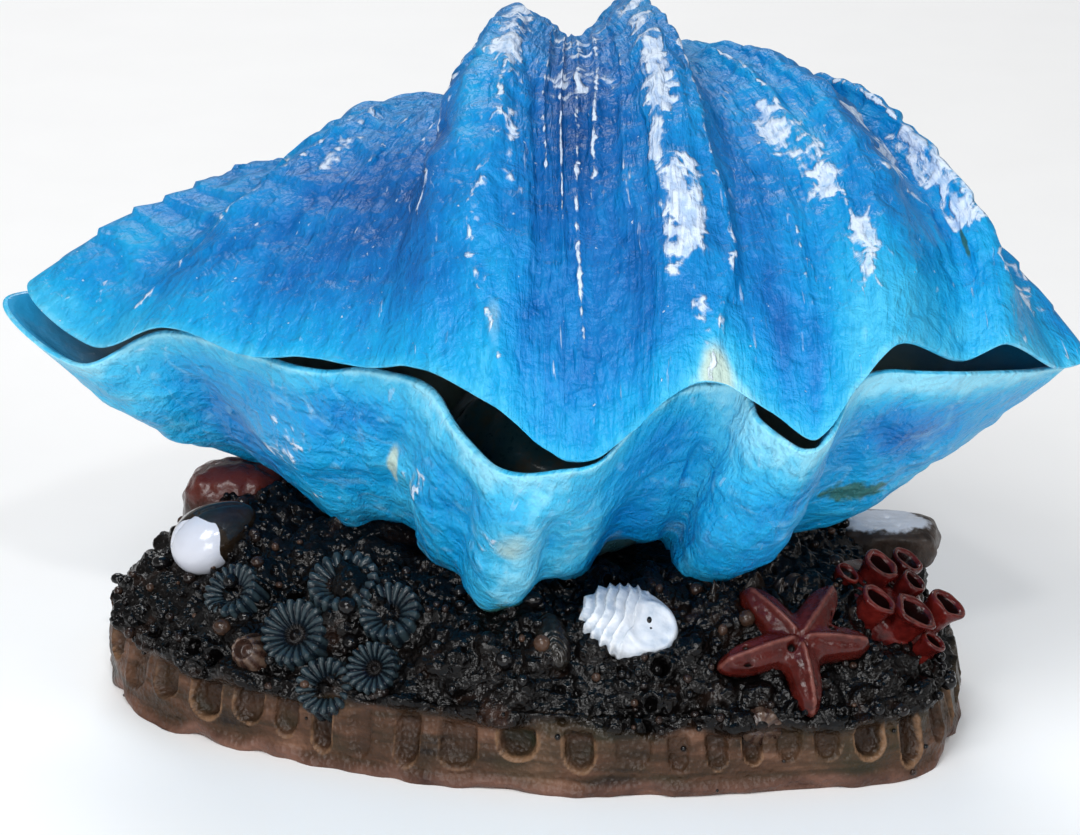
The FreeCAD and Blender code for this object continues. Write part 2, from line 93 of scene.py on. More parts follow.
RIB_FADE = 0.4
BOW_START = 0.4
LIP_WALL = 1.2
FOLLOW_LIP = math.radians(26)
MIDDLE = (0, -3)
HALF_WIDTH = 60
HALF_DEPTH = 34

# Marks on a valve are placed by station and by age, from 0 at the lip to 1 at the
# beak. A crease is its path up from the lip, its half width in stations, how far
# it stands out in mm, and how much white paint its top carries.
UPPER_CREASES = [
    ([(15.95, 0.0), (16.7, 0.09), (16.35, 0.16), (16.35, 0.24), (15.9, 0.40)], 0.16, 0.75, 0.7),
    ([(11.25, 0.0), (10.45, 0.08), (10.5, 0.13), (10.7, 0.21), (10.5, 0.42)], 0.17, 0.7, 0.6),
    ([(12.0, 0.16), (11.6, 0.40)], 0.11, 0.6, 0.85),
    ([(12.65, 0.12), (12.35, 0.40)], 0.11, 0.6, 0.9),
    ([(13.0, 0.06), (13.2, 0.40)], 0.11, 0.5, 0.8),
    ([(13.4, 0.18), (13.7, 0.40)], 0.11, 0.6, 0.85),
    ([(14.0, 0.14), (14.3, 0.40)], 0.10, 0.4, 0.6),
    ([(19.5, 0.04), (19.1, 0.13), (18.85, 0.22), (18.9, 0.36)], 0.14, 0.6, 0.8),
    ([(18.1, 0.05), (17.9, 0.20), (17.8, 0.36)], 0.12, 0.35, 0.5),
    ([(22.25, 0.05), (21.7, 0.19), (21.85, 0.36)], 0.13, 0.6, 0.8),
    ([(20.9, 0.08), (20.4, 0.30)], 0.11, 0.35, 0.5),
    ([(5.35, 0.03), (5.9, 0.12), (6.7, 0.30)], 0.12, 0.5, 0.7),
    ([(7.4, 0.12), (7.9, 0.34)], 0.11, 0.35, 0.5),
    ([(8.6, 0.14), (8.9, 0.36)], 0.11, 0.4, 0.6),
    ([(9.5, 0.10), (9.7, 0.38)], 0.12, 0.4, 0.7),
]
LOWER_CREASES = [
    ([(10.45, 0.05), (10.6, 0.16), (10.9, 0.34)], 0.45, -1.5, 0.0),
    ([(12.6, 0.08), (12.75, 0.20), (12.7, 0.34)], 0.40, -1.7, 0.0),
    ([(14.4, 0.14), (14.3, 0.28), (14.6, 0.50)], 0.60, -2.0, 0.0),
    ([(11.6, 0.05), (11.8, 0.20), (11.8, 0.34)], 0.70, 1.1, 0.3),
    ([(8.6, 0.10), (8.5, 0.24)], 0.16, -0.7, 0.0),
    ([(7.1, 0.10), (6.8, 0.22), (7.2, 0.45)], 0.22, 0.7, 0.5),
    ([(6.2, 0.16), (6.0, 0.34)], 0.22, -0.1, 0.0),
    ([(9.4, 0.12), (9.5, 0.35)], 0.30, 0.6, 0.3),
    ([(15.6, 0.10), (15.6, 0.13)], 0.12, -0.8, 0.0),
    ([(19.4, 0.08), (19.2, 0.30)], 0.30, 0.6, 0.2),
    ([(17.0, 0.10), (17.2, 0.42)], 0.60, 0.9, 0.2),
]
# Dry-brushed white patches: station, half width, lowest and highest age, strength.
UPPER_WORN = [
    (15.35, 0.62, 0.195, 0.285, 1.0), (15.05, 0.50, 0.150, 0.185, 0.95),
    (15.6, 0.66, 0.070, 0.145, 1.0), (15.9, 0.45, 0.02, 0.05, 0.55),
    (18.5, 0.55, 0.19, 0.26, 0.85), (18.85, 0.45, 0.13, 0.18, 0.9),
    (19.3, 0.42, 0.055, 0.10, 0.85), (21.65, 0.50, 0.10, 0.23, 0.95),
    (12.9, 1.70, 0.27, 0.42, 0.60), (10.6, 0.42, 0.27, 0.42, 0.9),
    (10.9, 0.25, 0.14, 0.26, 0.5), (6.7, 0.50, 0.18, 0.30, 0.5),
    (9.3, 0.60, 0.20, 0.34, 0.5), (20.4, 0.50, 0.13, 0.24, 0.7),
    (23.0, 0.60, 0.05, 0.15, 0.8), (15.2, 0.80, 0.30, 0.42, 0.75),
]
LOWER_WORN = [
    (6.7, 0.5, 0.10, 0.25, 0.55), (11.6, 0.7, 0.07, 0.13, 0.5), (9.3, 0.5, 0.10, 0.2, 0.45),
]
# Lighter (+) and deeper (-) paint: station, half width, age, half depth, amount.
UPPER_TONES = [
    (4.3, 1.6, 0.05, 0.14, 0.10), (8.6, 2.0, 0.13, 0.09, -0.34), (10.25, 0.40, 0.20, 0.14, 0.22),
    (9.6, 0.35, 0.22, 0.12, -0.12), (12.8, 1.35, 0.24, 0.14, -0.36), (12.8, 1.6, 0.02, 0.05, -0.06),
    (10.9, 0.5, 0.07, 0.05, 0.20), (15.0, 0.8, 0.10, 0.05, -0.12), (14.2, 0.4, 0.10, 0.08, -0.12),
    (17.2, 0.45, 0.20, 0.13, -0.12), (18.9, 0.55, 0.17, 0.16, 0.16), (20.0, 1.6, 0.05, 0.06, 0.22),
    (22.6, 0.9, 0.15, 0.14, 0.18), (16.2, 0.55, 0.0, 0.025, 0.40), (17.45, 0.22, 0.05, 0.04, -0.25),
    (18.0, 0.20, 0.03, 0.03, -0.20), (20.2, 0.4, 0.22, 0.12, -0.15), (25.5, 1.5, 0.2, 0.3, -0.1),
    (1.5, 1.5, 0.2, 0.3, -0.1),
]
LOWER_TONES = [
    (4.6, 1.6, 0.08, 0.12, 0.16), (7.6, 1.2, 0.08, 0.05, -0.22), (6.1, 0.4, 0.25, 0.14, -0.25),
    (11.8, 0.75, 0.17, 0.12, 0.34), (13.3, 0.45, 0.18, 0.12, 0.22), (14.6, 0.9, 0.07, 0.05, -0.16),
    (11.0, 1.0, 0.0, 0.05, 0.05), (16.4, 1.0, 0.04, 0.05, 0.16), (14.6, 0.7, 0.30, 0.12, -0.22),
    (20.75, 0.55, 0.10, 0.06, -0.30), (18.6, 0.8, 0.20, 0.09, -0.18), (20.6, 1.2, 0.015, 0.035, 0.26),
    (9.0, 0.5, 0.22, 0.1, 0.2), (18.0, 0.9, 0.05, 0.05, 0.12),
]
# Green algae stains and milky, beige paint, in the same form.
UPPER_STAINS = [(21.4, 0.10, 0.09, 0.02, 1.0), (20.2, 0.5, 0.05, 0.03, 0.3)]
LOWER_STAINS = [(11.8, 0.55, 0.285, 0.05, 1.0), (20.6, 0.55, 0.235, 0.03, 1.0),
                (15.3, 0.3, 0.12, 0.02, 0.4)]
UPPER_MILK = [(16.1, 0.45, 0.0, 0.03, 0.9), (10.9, 0.25, 0.05, 0.04, 0.5)]
LOWER_MILK = [(8.6, 0.13, 0.17, 0.05, 1.0), (9.2, 0.16, 0.17, 0.05, 0.6),
              (11.7, 0.5, 0.11, 0.05, 0.5), (10.0, 0.9, 0.40, 0.10, 0.6)]

# Rock base: its footprint, how the top climbs inwards, and its fluted skirt.
FOOTPRINT = np.array([
    (-51, 7), (-48.5, -4), (-41.5, -13), (-31, -18.5), (-20, -21.5), (-7, -24.8),
    (6, -25.6), (17, -24.8), (27, -22.6), (37, -19.5), (45, -13.5), (47.5, -4),
    (47.5, 7), (43, 19), (33, 27), (16, 31), (-2, 32), (-20, 31), (-36, 26), (-47, 18),
], dtype=float)
ROCK_CENTRE = np.array([-2.0, 4.0])
ROCK_ROWS = np.array([
    (0.975, 0), (0.992, 1.2), (1.0, 3.2), (0.995, 5.6), (0.985, 7.6), (0.955, 9.4),
    (0.90, 11.8), (0.84, 14.3), (0.78, 16.2), (0.72, 17.8), (0.66, 18.8), (0.60, 19.4),
    (0.52, 20.0), (0.44, 20.2), (0.34, 20.4), (0.22, 20.6),
])
BACK_SLOPE = 0.06
BED_DEPTH = 1.4
FLUTES = 44


def blend(low, high, value):
    """0 up to low, 1 from high on, smooth between."""
    t = np.clip((value - low) / (high - low), 0.0, 1.0)
    return t * t * (3 - 2 * t)


def through_four(stations, f):
    """Catmull-Rom curve from the second station to the third."""
    a, b, c, d = stations
    return 0.5 * (2 * b + (c - a) * f + (2 * a - 5 * b + 4 * c - d) * f * f
                  + (3 * b - a - 3 * c + d) * f ** 3)


def along_loop(stations, t):
    """Smooth closed curve through the stations; t counts stations."""
    start = np.floor(t).astype(int)
    near = [stations[(start + step) % len(stations)] for step in (-1, 0, 1, 2)]
    return through_four(near, (t - start)[..., None])


def open_curve(stations, t):
    """Smooth curve from the first station to the last; t counts stations."""
    last = len(stations) - 1
    start = np.minimum(np.floor(t).astype(int), last - 1)
    near = [stations[np.clip(start + step, 0, last)] for step in (-1, 0, 1, 2)]
    return through_four(near, (t - start)[:, None])


def average_loop(stations, t):
    """The same curve with the ribs smoothed away."""
    return sum(along_loop(stations, t + 0.4 * step) for step in range(-4, 5)) / 9


def lattice_noise(points, size, seed):
    """Smooth noise between -1 and 1; size is the width of one lump."""
    table = np.random.RandomState(seed).uniform(-1, 1, (32, 32, 32))
    p = points / size
    cell = np.floor(p).astype(int)
    f = p - cell
    f = f * f * (3 - 2 * f)
    total = 0.0
    for dx in (0, 1):
        for dy in (0, 1):
            for dz in (0, 1):
                corner = table[(cell[..., 0] + dx) % 32, (cell[..., 1] + dy) % 32,
                               (cell[..., 2] + dz) % 32]
                weight = (np.where(dx, f[..., 0], 1 - f[..., 0])
                          * np.where(dy, f[..., 1], 1 - f[..., 1])
                          * np.where(dz, f[..., 2], 1 - f[..., 2]))
                total = total + corner * weight
    return total


def pebbles(points, size, seed):
    """Distance to the nearest of many scattered pebbles, and that pebble's own number."""
    rng = np.random.RandomState(seed)
    centre = rng.uniform(0.1, 0.9, (32, 32, 32, 3))
    own = rng.uniform(0, 1, (32, 32, 32))
    p = points / size
    cell = np.floor(p).astype(int)
    best = np.full(p.shape[:-1], 9.0)
    number = np.zeros(p.shape[:-1])
    for step in np.ndindex(3, 3, 3):
        near = cell + np.array(step) - 1
        key = tuple(np.moveaxis(near % 32, -1, 0))
        gap = np.linalg.norm(near + centre[key] - p, axis=-1)
        number = np.where(gap < best, own[key], number)
        best = np.minimum(gap, best)
    return best, number


def grid_normals(points):
    """Unit normals of a grid of points that is closed along its second axis."""
    down = np.gradient(points, axis=0)
    across = np.roll(points, -1, axis=1) - np.roll(points, 1, axis=1)
    normal = np.cross(across, down)
    normal /= np.maximum(np.linalg.norm(normal, axis=-1, keepdims=True), 1e-9)
    outward = np.sum(normal * (points - points.mean(axis=(0, 1))))
    return normal if outward > 0 else -normal


def closed_skin(rows):
    """Points and faces of loops joined row to row, with a point closing each end."""
    total, count = rows.shape[:2]
    points = np.concatenate([rows.reshape(-1, 3), rows[:1].mean(axis=1), rows[-1:].mean(axis=1)])
    here = np.arange(total * count).reshape(total, count)
    beside = np.roll(here, -1, axis=1)
    quads = np.stack([here[:-1], beside[:-1], beside[1:], here[1:]], axis=-1).reshape(-1, 4)
    first = np.stack([beside[0], here[0], np.full(count, total * count)], axis=-1)
    last = np.stack([here[-1], beside[-1], np.full(count, total * count + 1)], axis=-1)
    return points, quads.tolist() + first.tolist() + last.tolist()


def with_ends(values):
    """Values of a grid's points, and of the two points that close its ends."""
    return np.concatenate([values.ravel(), [values[0].mean(), values[-1].mean()]])


def turned_outward(points, faces):
    """The faces, wound so that their normals point out of the solid."""
    volume = 0.0
    for size in (3, 4):
        corners = np.array([face for face in faces if len(face) == size], dtype=int)
        for i in range(1, size - 1 if len(corners) else 0):
            a, b, c = (points[corners[:, j]] for j in (0, i, i + 1))
            volume += np.sum(a * np.cross(b, c))
    return faces if volume > 0 else [face[::-1] for face in faces]


def new_mesh(name, points, faces, attributes=None):
    """A smooth-shaded object from points in millimetres."""
    points = np.asarray(points, dtype=float)
    mesh = bpy.data.meshes.new(name)
    mesh.from_pydata((points * MM + PLACE).tolist(), [], turned_outward(points, faces))
    mesh.shade_smooth()
    for key, values in (attributes or {}).items():
        values = np.asarray(values, dtype=np.float32)
        kind, slot = ("FLOAT", "value") if values.ndim == 1 else ("FLOAT_VECTOR", "vector")
        mesh.attributes.new(key, kind, "POINT").data.foreach_set(slot, values.ravel())
    obj = bpy.data.objects.new(name, mesh)
    bpy.context.collection.objects.link(obj)
    return obj


def add_piece(obj, material, body, slot, *nodes):
    """Gives a piece its paint and lets it stand for its CAD nodes."""
    obj.data.materials.append(material)
    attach(obj, body)
    if nodes:
        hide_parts(*nodes)
    return obj


class Valve:
    """One half of the clam, grown from its lip about the hinge line."""

    def __init__(self, stations, axis, side, wrap, hollow, back_wall, seed):
        self.stations = stations
        self.axis = np.array(axis, dtype=float)
        self.side = side
        self.wrap = math.radians(wrap)
        self.hollow = math.radians(hollow)
        self.back_wall = back_wall
        self.seed = seed

    def rolled(self, x, forward, height, turn):
        """Places carried round the hinge line by an angle."""
        reach = forward * np.cos(turn) - height * np.sin(turn)
        rise = height * np.cos(turn) + forward * np.sin(turn)
        return np.stack([x, self.axis[1] - reach, self.axis[2] + self.side * rise], axis=-1)

    def bowed(self, bow, k):
        """Sideways swing of a rib between the lip and the beak."""
        swing = bow * 4 * (k - BOW_START) * (1 - k) / (1 - BOW_START) ** 2
        return np.where(k > BOW_START, swing, 0)

    def outer(self, t, turn):
        """Plain outside of the shell: the lip shrinks as it rolls about the hinge."""
        x, y, z, swell, rate, bow = np.moveaxis(along_loop(self.stations, t), -1, 0)
        k = np.exp(-rate * turn)
        lean = np.arctan2(1, rate)
        rib = swell * k ** RIB_FADE
        level = 1 - np.clip(turn / self.wrap, 0, 1) ** 5
        forward = k * (self.axis[1] - y) + rib * np.sin(lean)
        height = (k * (z - self.axis[2]) * self.side + rib * np.cos(lean)) * level
        side_x = self.axis[0] + k * (x - self.axis[0]) + self.bowed(bow, k)
        return self.rolled(side_x, forward, height, turn), k

    def inner(self, t, turn):
        """Inside of the shell: an even wall at the lip, a plain hollow further in."""
        m = blend(0, FOLLOW_LIP, turn)
        x, y, z, swell, rate, bow = np.moveaxis(along_loop(self.stations, t), -1, 0)
        along = along_loop(self.stations, t + 0.25) - along_loop(self.stations, t - 0.25)
        along = along[..., :2] / np.linalg.norm(along[..., :2], axis=-1, keepdims=True)
        soft = average_loop(self.stations, t)
        k = np.exp(-rate * turn)
        lean = np.arctan2(1, rate)
        wall = 1.9 + 2.6 * k + 1.6 * k ** RIB_FADE
        deep_x = MIDDLE[0] + (1 - 1.6 * wall / (HALF_WIDTH * k)) * (soft[..., 0] - MIDDLE[0])
        deep_y = MIDDLE[1] + (1 - wall / (HALF_DEPTH * k)) * (soft[..., 1] - MIDDLE[1])
        near_x = x - along[..., 1] * LIP_WALL
        near_y = y + along[..., 0] * LIP_WALL
        rib = swell * k ** RIB_FADE * (1 - m)
        level = 1 - (turn / self.hollow) ** 5
        forward = k * (self.axis[1] - (1 - m) * near_y - m * deep_y) + rib * np.sin(lean)
        rise = (1 - m) * z + m * soft[..., 2] - self.axis[2]
        height = (k * rise * self.side + rib * np.cos(lean)) * level
        side_x = self.axis[0] + k * ((1 - m) * near_x + m * deep_x - self.axis[0])
        points = self.rolled(side_x + self.bowed(bow, k), forward, height, turn)
        step = self.back_wall * turn / self.hollow
        points[..., 1] -= step * np.sin(turn)
        points[..., 2] -= self.side * step * np.cos(turn)
        return points

    def grain(self, t, age):
        """Places that run on round the loop, one unit a station, and up the growth."""
        radius = len(self.stations) / (2 * math.pi)
        angle = t / radius
        return np.stack([radius * np.cos(angle), radius * np.sin(angle), age], axis=-1)

    def streaks(self, t, age, across, along, seed):
        """Noise drawn out along the growth of the shell."""
        return lattice_noise(self.grain(t, age) * (across, across, along), 1.0, self.seed + seed)

    def creased(self, t, age):
        """Height and white paint of the creases."""
        height = np.zeros(t.shape)
        paint = np.zeros(t.shape)
        wobble = 0.10 * self.streaks(t, age, 0.8, 14.0, 20)
        for path, width, out, white in self.creases:
            stations, ages = zip(*path)
            line = np.interp(age, ages, stations)
            low_end = 1.0 if ages[0] == 0 else blend(ages[0] - 0.03, ages[0] + 0.01, age)
            ends = low_end * (1 - blend(ages[-1], ages[-1] + 0.05, age))
            close = np.exp(-((t + wobble - line) / width) ** 2) * ends
            height += out * close
            paint = np.maximum(paint, white * close ** 2)
        return height, paint

    def spots(self, marks, t, age):
        """Sum of soft round marks."""
        total = np.zeros(t.shape)
        for at, wide, where, deep, amount in marks:
            total += amount * np.exp(-((t - at) / wide) ** 2 - ((age - where) / deep) ** 2)
        return total

    def worn_paint(self, t, age):
        """Where white dry-brushed paint shows: patches along the ribs."""
        total = np.zeros(t.shape)
        for at, wide, low, high, strength in self.worn:
            across = np.exp(-((t - at) / wide) ** 2)
            total = np.maximum(total, strength * across * blend(low - 0.02, low + 0.01, age)
                               * (1 - blend(high - 0.01, high + 0.03, age)))
        return total

    def build(self, name, around, out_rows, in_rows, row_bias):
        """The valve's mesh: its outside, a rounded lip and its lining, with paint marks."""
        count = len(self.stations)
        t_line = count * np.arange(around) / around
        age = np.broadcast_to(np.linspace(1, 0, out_rows)[:, None] ** row_bias,
                              (out_rows, around))
        t = np.broadcast_to(t_line, age.shape)
        wavy = self.streaks(t, age * 0, 1.1, 1.0, 5) + 0.5 * self.streaks(t, age * 0, 3.1, 1.0, 6)
        turn = self.wrap * age + 0.0035 * wavy * (1 - age) ** 8
        plain, k = self.outer(t, turn)
        normal = grid_normals(plain)
        crease, crest = self.creased(t, age)
        relief = self.relief(t, age, k, plain)
        lip = 0.15 + 0.85 * blend(0.0, 0.04, age)
        outside = plain + normal * ((relief + crease) * lip)[..., None]
        self.outside = outside

        deep = np.broadcast_to(np.linspace(0, 1, in_rows)[:, None] ** 1.3, (in_rows, around))
        inside = self.inner(np.broadcast_to(t_line, deep.shape),
                            self.hollow * deep + 0.0035 * wavy[:1] * (1 - deep) ** 8)
        edge = outside[-1] - outside[-3]
        edge /= np.linalg.norm(edge, axis=-1, keepdims=True)
        rim = np.stack([(1 - f) * outside[-1] + f * inside[0] + edge * 0.42 * math.sin(math.pi * f)
                        for f in (0.14, 0.32, 0.5, 0.68, 0.86)])
        rows = np.concatenate([outside, rim, inside])
        points, faces = closed_skin(rows)
        zero_rim = np.zeros((len(rim), around))
        zero_in = np.zeros(deep.shape)
        tone = self.base_tone + self.spots(self.tones, t, age) + 0.24 * (1 - blend(0.0, 0.06, age))
        tone += 0.05 * np.clip(relief, -1.5, 1.5) + 0.14 * (1 - blend(0.0, 0.010, age))
        columns = {
            "tone": np.concatenate([tone, zero_rim + 0.92, zero_in + 0.9]),
            "worn": np.concatenate([self.worn_paint(t, age), zero_rim, zero_in]),
            "crest": np.concatenate([crest, zero_rim, zero_in]),
            "stain": np.concatenate([self.spots(self.stains, t, age), zero_rim, zero_in]),
            "milk": np.concatenate([self.spots(self.milk, t, age), zero_rim, zero_in]),
            "depth": np.concatenate([age * 0, zero_rim, deep]),
        }
        marks = {key: with_ends(values) for key, values in columns.items()}
        all_age = np.concatenate([age, zero_rim, -deep])
        grain = self.grain(np.broadcast_to(t_line, all_age.shape), all_age)
        marks["grain"] = np.concatenate([grain.reshape(-1, 3), grain[:1].mean(axis=1),
                                         grain[-1:].mean(axis=1)])
        obj = new_mesh(name, points, faces, marks)
        lining = np.zeros(len(faces), dtype=np.int32)
        lining[(out_rows + 3) * around:(len(rows) - 1) * around] = 1
        lining[-around:] = 1
        obj.data.polygons.foreach_set("material_index", lining)
        return obj


class UpperValve(Valve):
    base_tone = 0.44
    creases, worn, tones = UPPER_CREASES, UPPER_WORN, UPPER_TONES
    stains, milk = UPPER_STAINS, UPPER_MILK

    def relief(self, t, age, k, points):
        """Fine riblets, stepped growth lines and brushy lumps, in mm."""
        riblets = 0.46 * self.streaks(t, age, 1.7, 6.0, 1) + 0.38 * self.streaks(t, age, 3.7, 9.0, 2)
        lumps = 0.40 * lattice_noise(points, 5.5, self.seed + 3)
        lumps += 0.26 * lattice_noise(points, 2.3, self.seed + 4)
        size = 60.0 * k + 2.2 * lattice_noise(points, 8.0, self.seed + 7)
        step = 0.30 + 0.30 * (1 - blend(5.0, 7.5, t)) + 0.2 * blend(18.0, 22.0, t)
        growth = step * ((size / 4.3) % 1.0 - 0.5) * blend(0.02, 0.08, age)
        crinkle = 0.16 * np.sin(size * 2 * math.pi / 1.9) * blend(0.18, 0.26, age)
        rough = blend(0.03, 0.12, age)
        return riblets * (0.4 + 0.6 * rough) + lumps * (0.35 + 0.65 * rough) + growth + crinkle


class LowerValve(Valve):
    base_tone = 0.66
    creases, worn, tones = LOWER_CREASES, LOWER_WORN, LOWER_TONES
    stains, milk = LOWER_STAINS, LOWER_MILK

    def relief(self, t, age, k, points):
        """Soft melted lumps and a few streaks, in mm."""
        lumps = 0.75 * lattice_noise(points, 9.0, self.seed + 3)
        lumps += 0.50 * lattice_noise(points, 4.2, self.seed + 4)
        lumps += 0.26 * lattice_noise(points, 1.8, self.seed + 8)
        drawn = 0.28 * self.streaks(t, age, 1.5, 7.0, 1) + 0.12 * self.streaks(t, age, 3.4, 12.0, 2)
        return (lumps + drawn) * (0.25 + 0.75 * blend(0.03, 0.14, age))


upper = UpperValve(UPPER_LIP, (-6, 32, 46), 1, 150, 98, 0.0, 11)
lower = LowerValve(LOWER_LIP, (-8, 32, 44), -1, 92, 88, 2.4, 37)


class Paint:
    """A node material, built up from attributes and noise."""

    def __init__(self, name, roughness, coat=0.0, specular=0.5):
        self.mat = bpy.data.materials.new(name)
        self.mat.use_nodes = True
        self.tree = self.mat.node_tree
        self.bsdf = self.tree.nodes["Principled BSDF"]
        self.bsdf.inputs["Roughness"].default_value = roughness
        self.bsdf.inputs["Coat Weight"].default_value = coat
        self.bsdf.inputs["Coat Roughness"].default_value = 0.10
        self.bsdf.inputs["Specular IOR Level"].default_value = specular
        self.place = self.tree.nodes.new("ShaderNodeTexCoord").outputs["Object"]

    def put(self, socket, value):
        """Links an output to a socket, or sets the socket to a number or colour."""
        if isinstance(value, bpy.types.NodeSocket):
            self.tree.links.new(value, socket)
        elif isinstance(value, tuple) and len(value) == 3 and socket.type == "RGBA":
            socket.default_value = (*value, 1.0)
        else:
            socket.default_value = value

    def attribute(self, name, vector=False):
        node = self.tree.nodes.new("ShaderNodeAttribute")
        node.attribute_name = name
        return node.outputs["Vector" if vector else "Fac"]

    def stretched(self, vector, scale):
        node = self.tree.nodes.new("ShaderNodeVectorMath")
        node.operation = "MULTIPLY"
        self.put(node.inputs[0], vector)
        node.inputs[1].default_value = scale
        return node.outputs[0]

    def noise(self, scale, detail=3.0, vector=None, distortion=0.0):
        """Noise from 0 to 1; scale counts lumps a metre of the piece."""
        node = self.tree.nodes.new("ShaderNodeTexNoise")
        node.inputs["Scale"].default_value = scale
        node.inputs["Detail"].default_value = detail
        node.inputs["Distortion"].default_value = distortion
        self.put(node.inputs["Vector"], self.place if vector is None else vector)
        return node.outputs["Fac"]

    def cells(self, scale):
        node = self.tree.nodes.new("ShaderNodeTexVoronoi")
        node.inputs["Scale"].default_value = scale
        self.put(node.inputs["Vector"], self.place)
        return node.outputs["Distance"]

    def math(self, operation, a, b=0.0, clamp=False):
        node = self.tree.nodes.new("ShaderNodeMath")
        node.operation = operation
        node.use_clamp = clamp
        self.put(node.inputs[0], a)
        self.put(node.inputs[1], b)
        return node.outputs[0]

    def total(self, *weighted):
        """Sum of outputs, each with its weight."""
        result = None
        for value, weight in weighted:
            part = self.math("MULTIPLY", value, weight)
            result = part if result is None else self.math("ADD", result, part)
        return result

    def step(self, value, low, high):
        """0 under low, 1 over high, smooth between."""
        node = self.tree.nodes.new("ShaderNodeMapRange")
        node.interpolation_type = "SMOOTHSTEP"
        self.put(node.inputs["Value"], value)
        node.inputs["From Min"].default_value = low
        node.inputs["From Max"].default_value = high
        return node.outputs["Result"]

    def mix(self, factor, a, b):
        node = self.tree.nodes.new("ShaderNodeMix")
        node.data_type = "RGBA"
        self.put(node.inputs[0], factor)
        self.put(node.inputs[6], a)
        self.put(node.inputs[7], b)
        return node.outputs[2]

    def ramp(self, factor, *stops):
        node = self.tree.nodes.new("ShaderNodeValToRGB")
        elements = node.color_ramp.elements
        while len(elements) < len(stops):
            elements.new(1.0)
        for element, (position, colour) in zip(elements, stops):
            element.position = position
            element.color = (*colour, 1.0)
        self.put(node.inputs[0], factor)
        return node.outputs[0]

    def bump(self, height, distance_mm, strength=1.0):
        node = self.tree.nodes.new("ShaderNodeBump")
        node.inputs["Strength"].default_value = strength
        node.inputs["Distance"].default_value = distance_mm * MM
        self.put(node.inputs["Height"], height)
        self.put(self.bsdf.inputs["Normal"], node.outputs[0])

    def finish(self, colour, roughness=None):
        self.put(self.bsdf.inputs["Base Color"], colour)
        if roughness is not None:
            self.put(self.bsdf.inputs["Roughness"], roughness)
        return self.mat


WHITE_PAINT_AND_GLINT = (0.62, 0.72, 0.86)
ALGAE = (0.03, 0.10, 0.05)
MILKY = (0.42, 0.55, 0.50)


def shell_paint(name, melted):
    """Blue resin: deep in the valleys, cyan at the lip, dry-brushed with white, with tiny white
    specks painted in as glints.
    """
    p = Paint(name, 0.42, coat=0.0, specular=0.22)
    grain = p.attribute("grain", vector=True)
    wide = p.noise(95.0, 4.0, distortion=0.6)
    fine = p.noise(620.0, 4.0)
    brush = p.noise(1.0, 4.0, p.stretched(grain, (2.6, 2.6, 22.0)), 0.7)
    hair = p.noise(1.0, 2.0, p.stretched(grain, (7.0, 7.0, 60.0)), 0.5)
    tone = p.total((p.attribute("tone"), 1.0), (wide, 0.46), (brush, 0.34), (hair, 0.08),
                   (fine, 0.16))
    tone = p.math("SUBTRACT", tone, 0.56, clamp=True)
    colour = p.ramp(tone, (0.0, (0.001, 0.062, 0.24)), (0.20, (0.002, 0.115, 0.38)),
                    (0.42, (0.002, 0.205, 0.53)), (0.64, (0.006, 0.310, 0.62)),
                    (0.84, (0.045, 0.420, 0.68)), (1.0, (0.22, 0.60, 0.78)))
    lilac = p.step(p.noise(150.0, 3.0), 0.56, 0.75)
    colour = p.mix(p.math("MULTIPLY", lilac, 0.14), colour, (0.04, 0.24, 0.58))
    milk = p.step(p.total((p.attribute("milk"), 1.0), (wide, 0.8)), 0.75, 1.15)
    colour = p.mix(milk, colour, MILKY)
    if melted:
        swirl = p.step(p.noise(210.0, 5.0, distortion=1.6), 0.55, 0.74)
        colour = p.mix(p.math("MULTIPLY", swirl, 0.30), colour, (0.30, 0.58, 0.74))
    rag = p.noise(330.0, 5.0, distortion=1.2)
    patch = p.total((p.attribute("worn"), 1.0), (brush, 0.9), (rag, 1.7), (fine, 0.8))
    patch = p.step(patch, 2.24, 2.50)
    dry = p.step(p.total((hair, 0.6), (fine, 0.6)), 0.48, 0.70)
    streaky = p.total((dry, 0.45), (patch, 0.62))
    thread = p.total((p.attribute("crest"), 0.8), (hair, 0.8), (rag, 1.5), (fine, 0.7))
    thread = p.step(thread, 2.02, 2.22)
    fleck = p.step(p.noise(1.0, 3.0, p.stretched(grain, (8.0, 8.0, 40.0)), 0.8), 0.66, 0.72)
    fleck = p.math("MULTIPLY", fleck, p.step(wide, 0.44, 0.60))
    # Tiny white specks are painted glints: spots of colour standing in for the gloss catching the
    # light, joined to the white flecks of paint.
    fleck_and_painted_glint = p.math("MAXIMUM", fleck, p.step(p.noise(1150.0, 2.0), 0.735, 0.765))
    if melted:
        fleck_and_painted_glint = p.math("MULTIPLY", fleck_and_painted_glint, 0.35)
    patch = p.math("MULTIPLY", patch, streaky)
    white = p.math("MAXIMUM", p.math("MAXIMUM", patch, thread), p.math("MULTIPLY", fleck_and_painted_glint, 0.7))
    # This white is dry-brushed paint together with the painted glints.
    colour = p.mix(p.math("MULTIPLY", white, 0.90), colour, WHITE_PAINT_AND_GLINT)
    stain = p.step(p.total((p.attribute("stain"), 1.0), (fine, 0.9), (hair, 0.5)), 1.15, 1.45)
    colour = p.mix(p.math("MULTIPLY", stain, 0.85), colour, ALGAE)
    p.bump(p.total((brush, 0.55), (hair, 0.28), (fine, 0.42), (rag, 0.55), (white, 0.12)), 1.15)
    return p.finish(colour, p.total((fine, 0.22), (white, 0.18), (brush, 0.1), (wide, 0.38)))


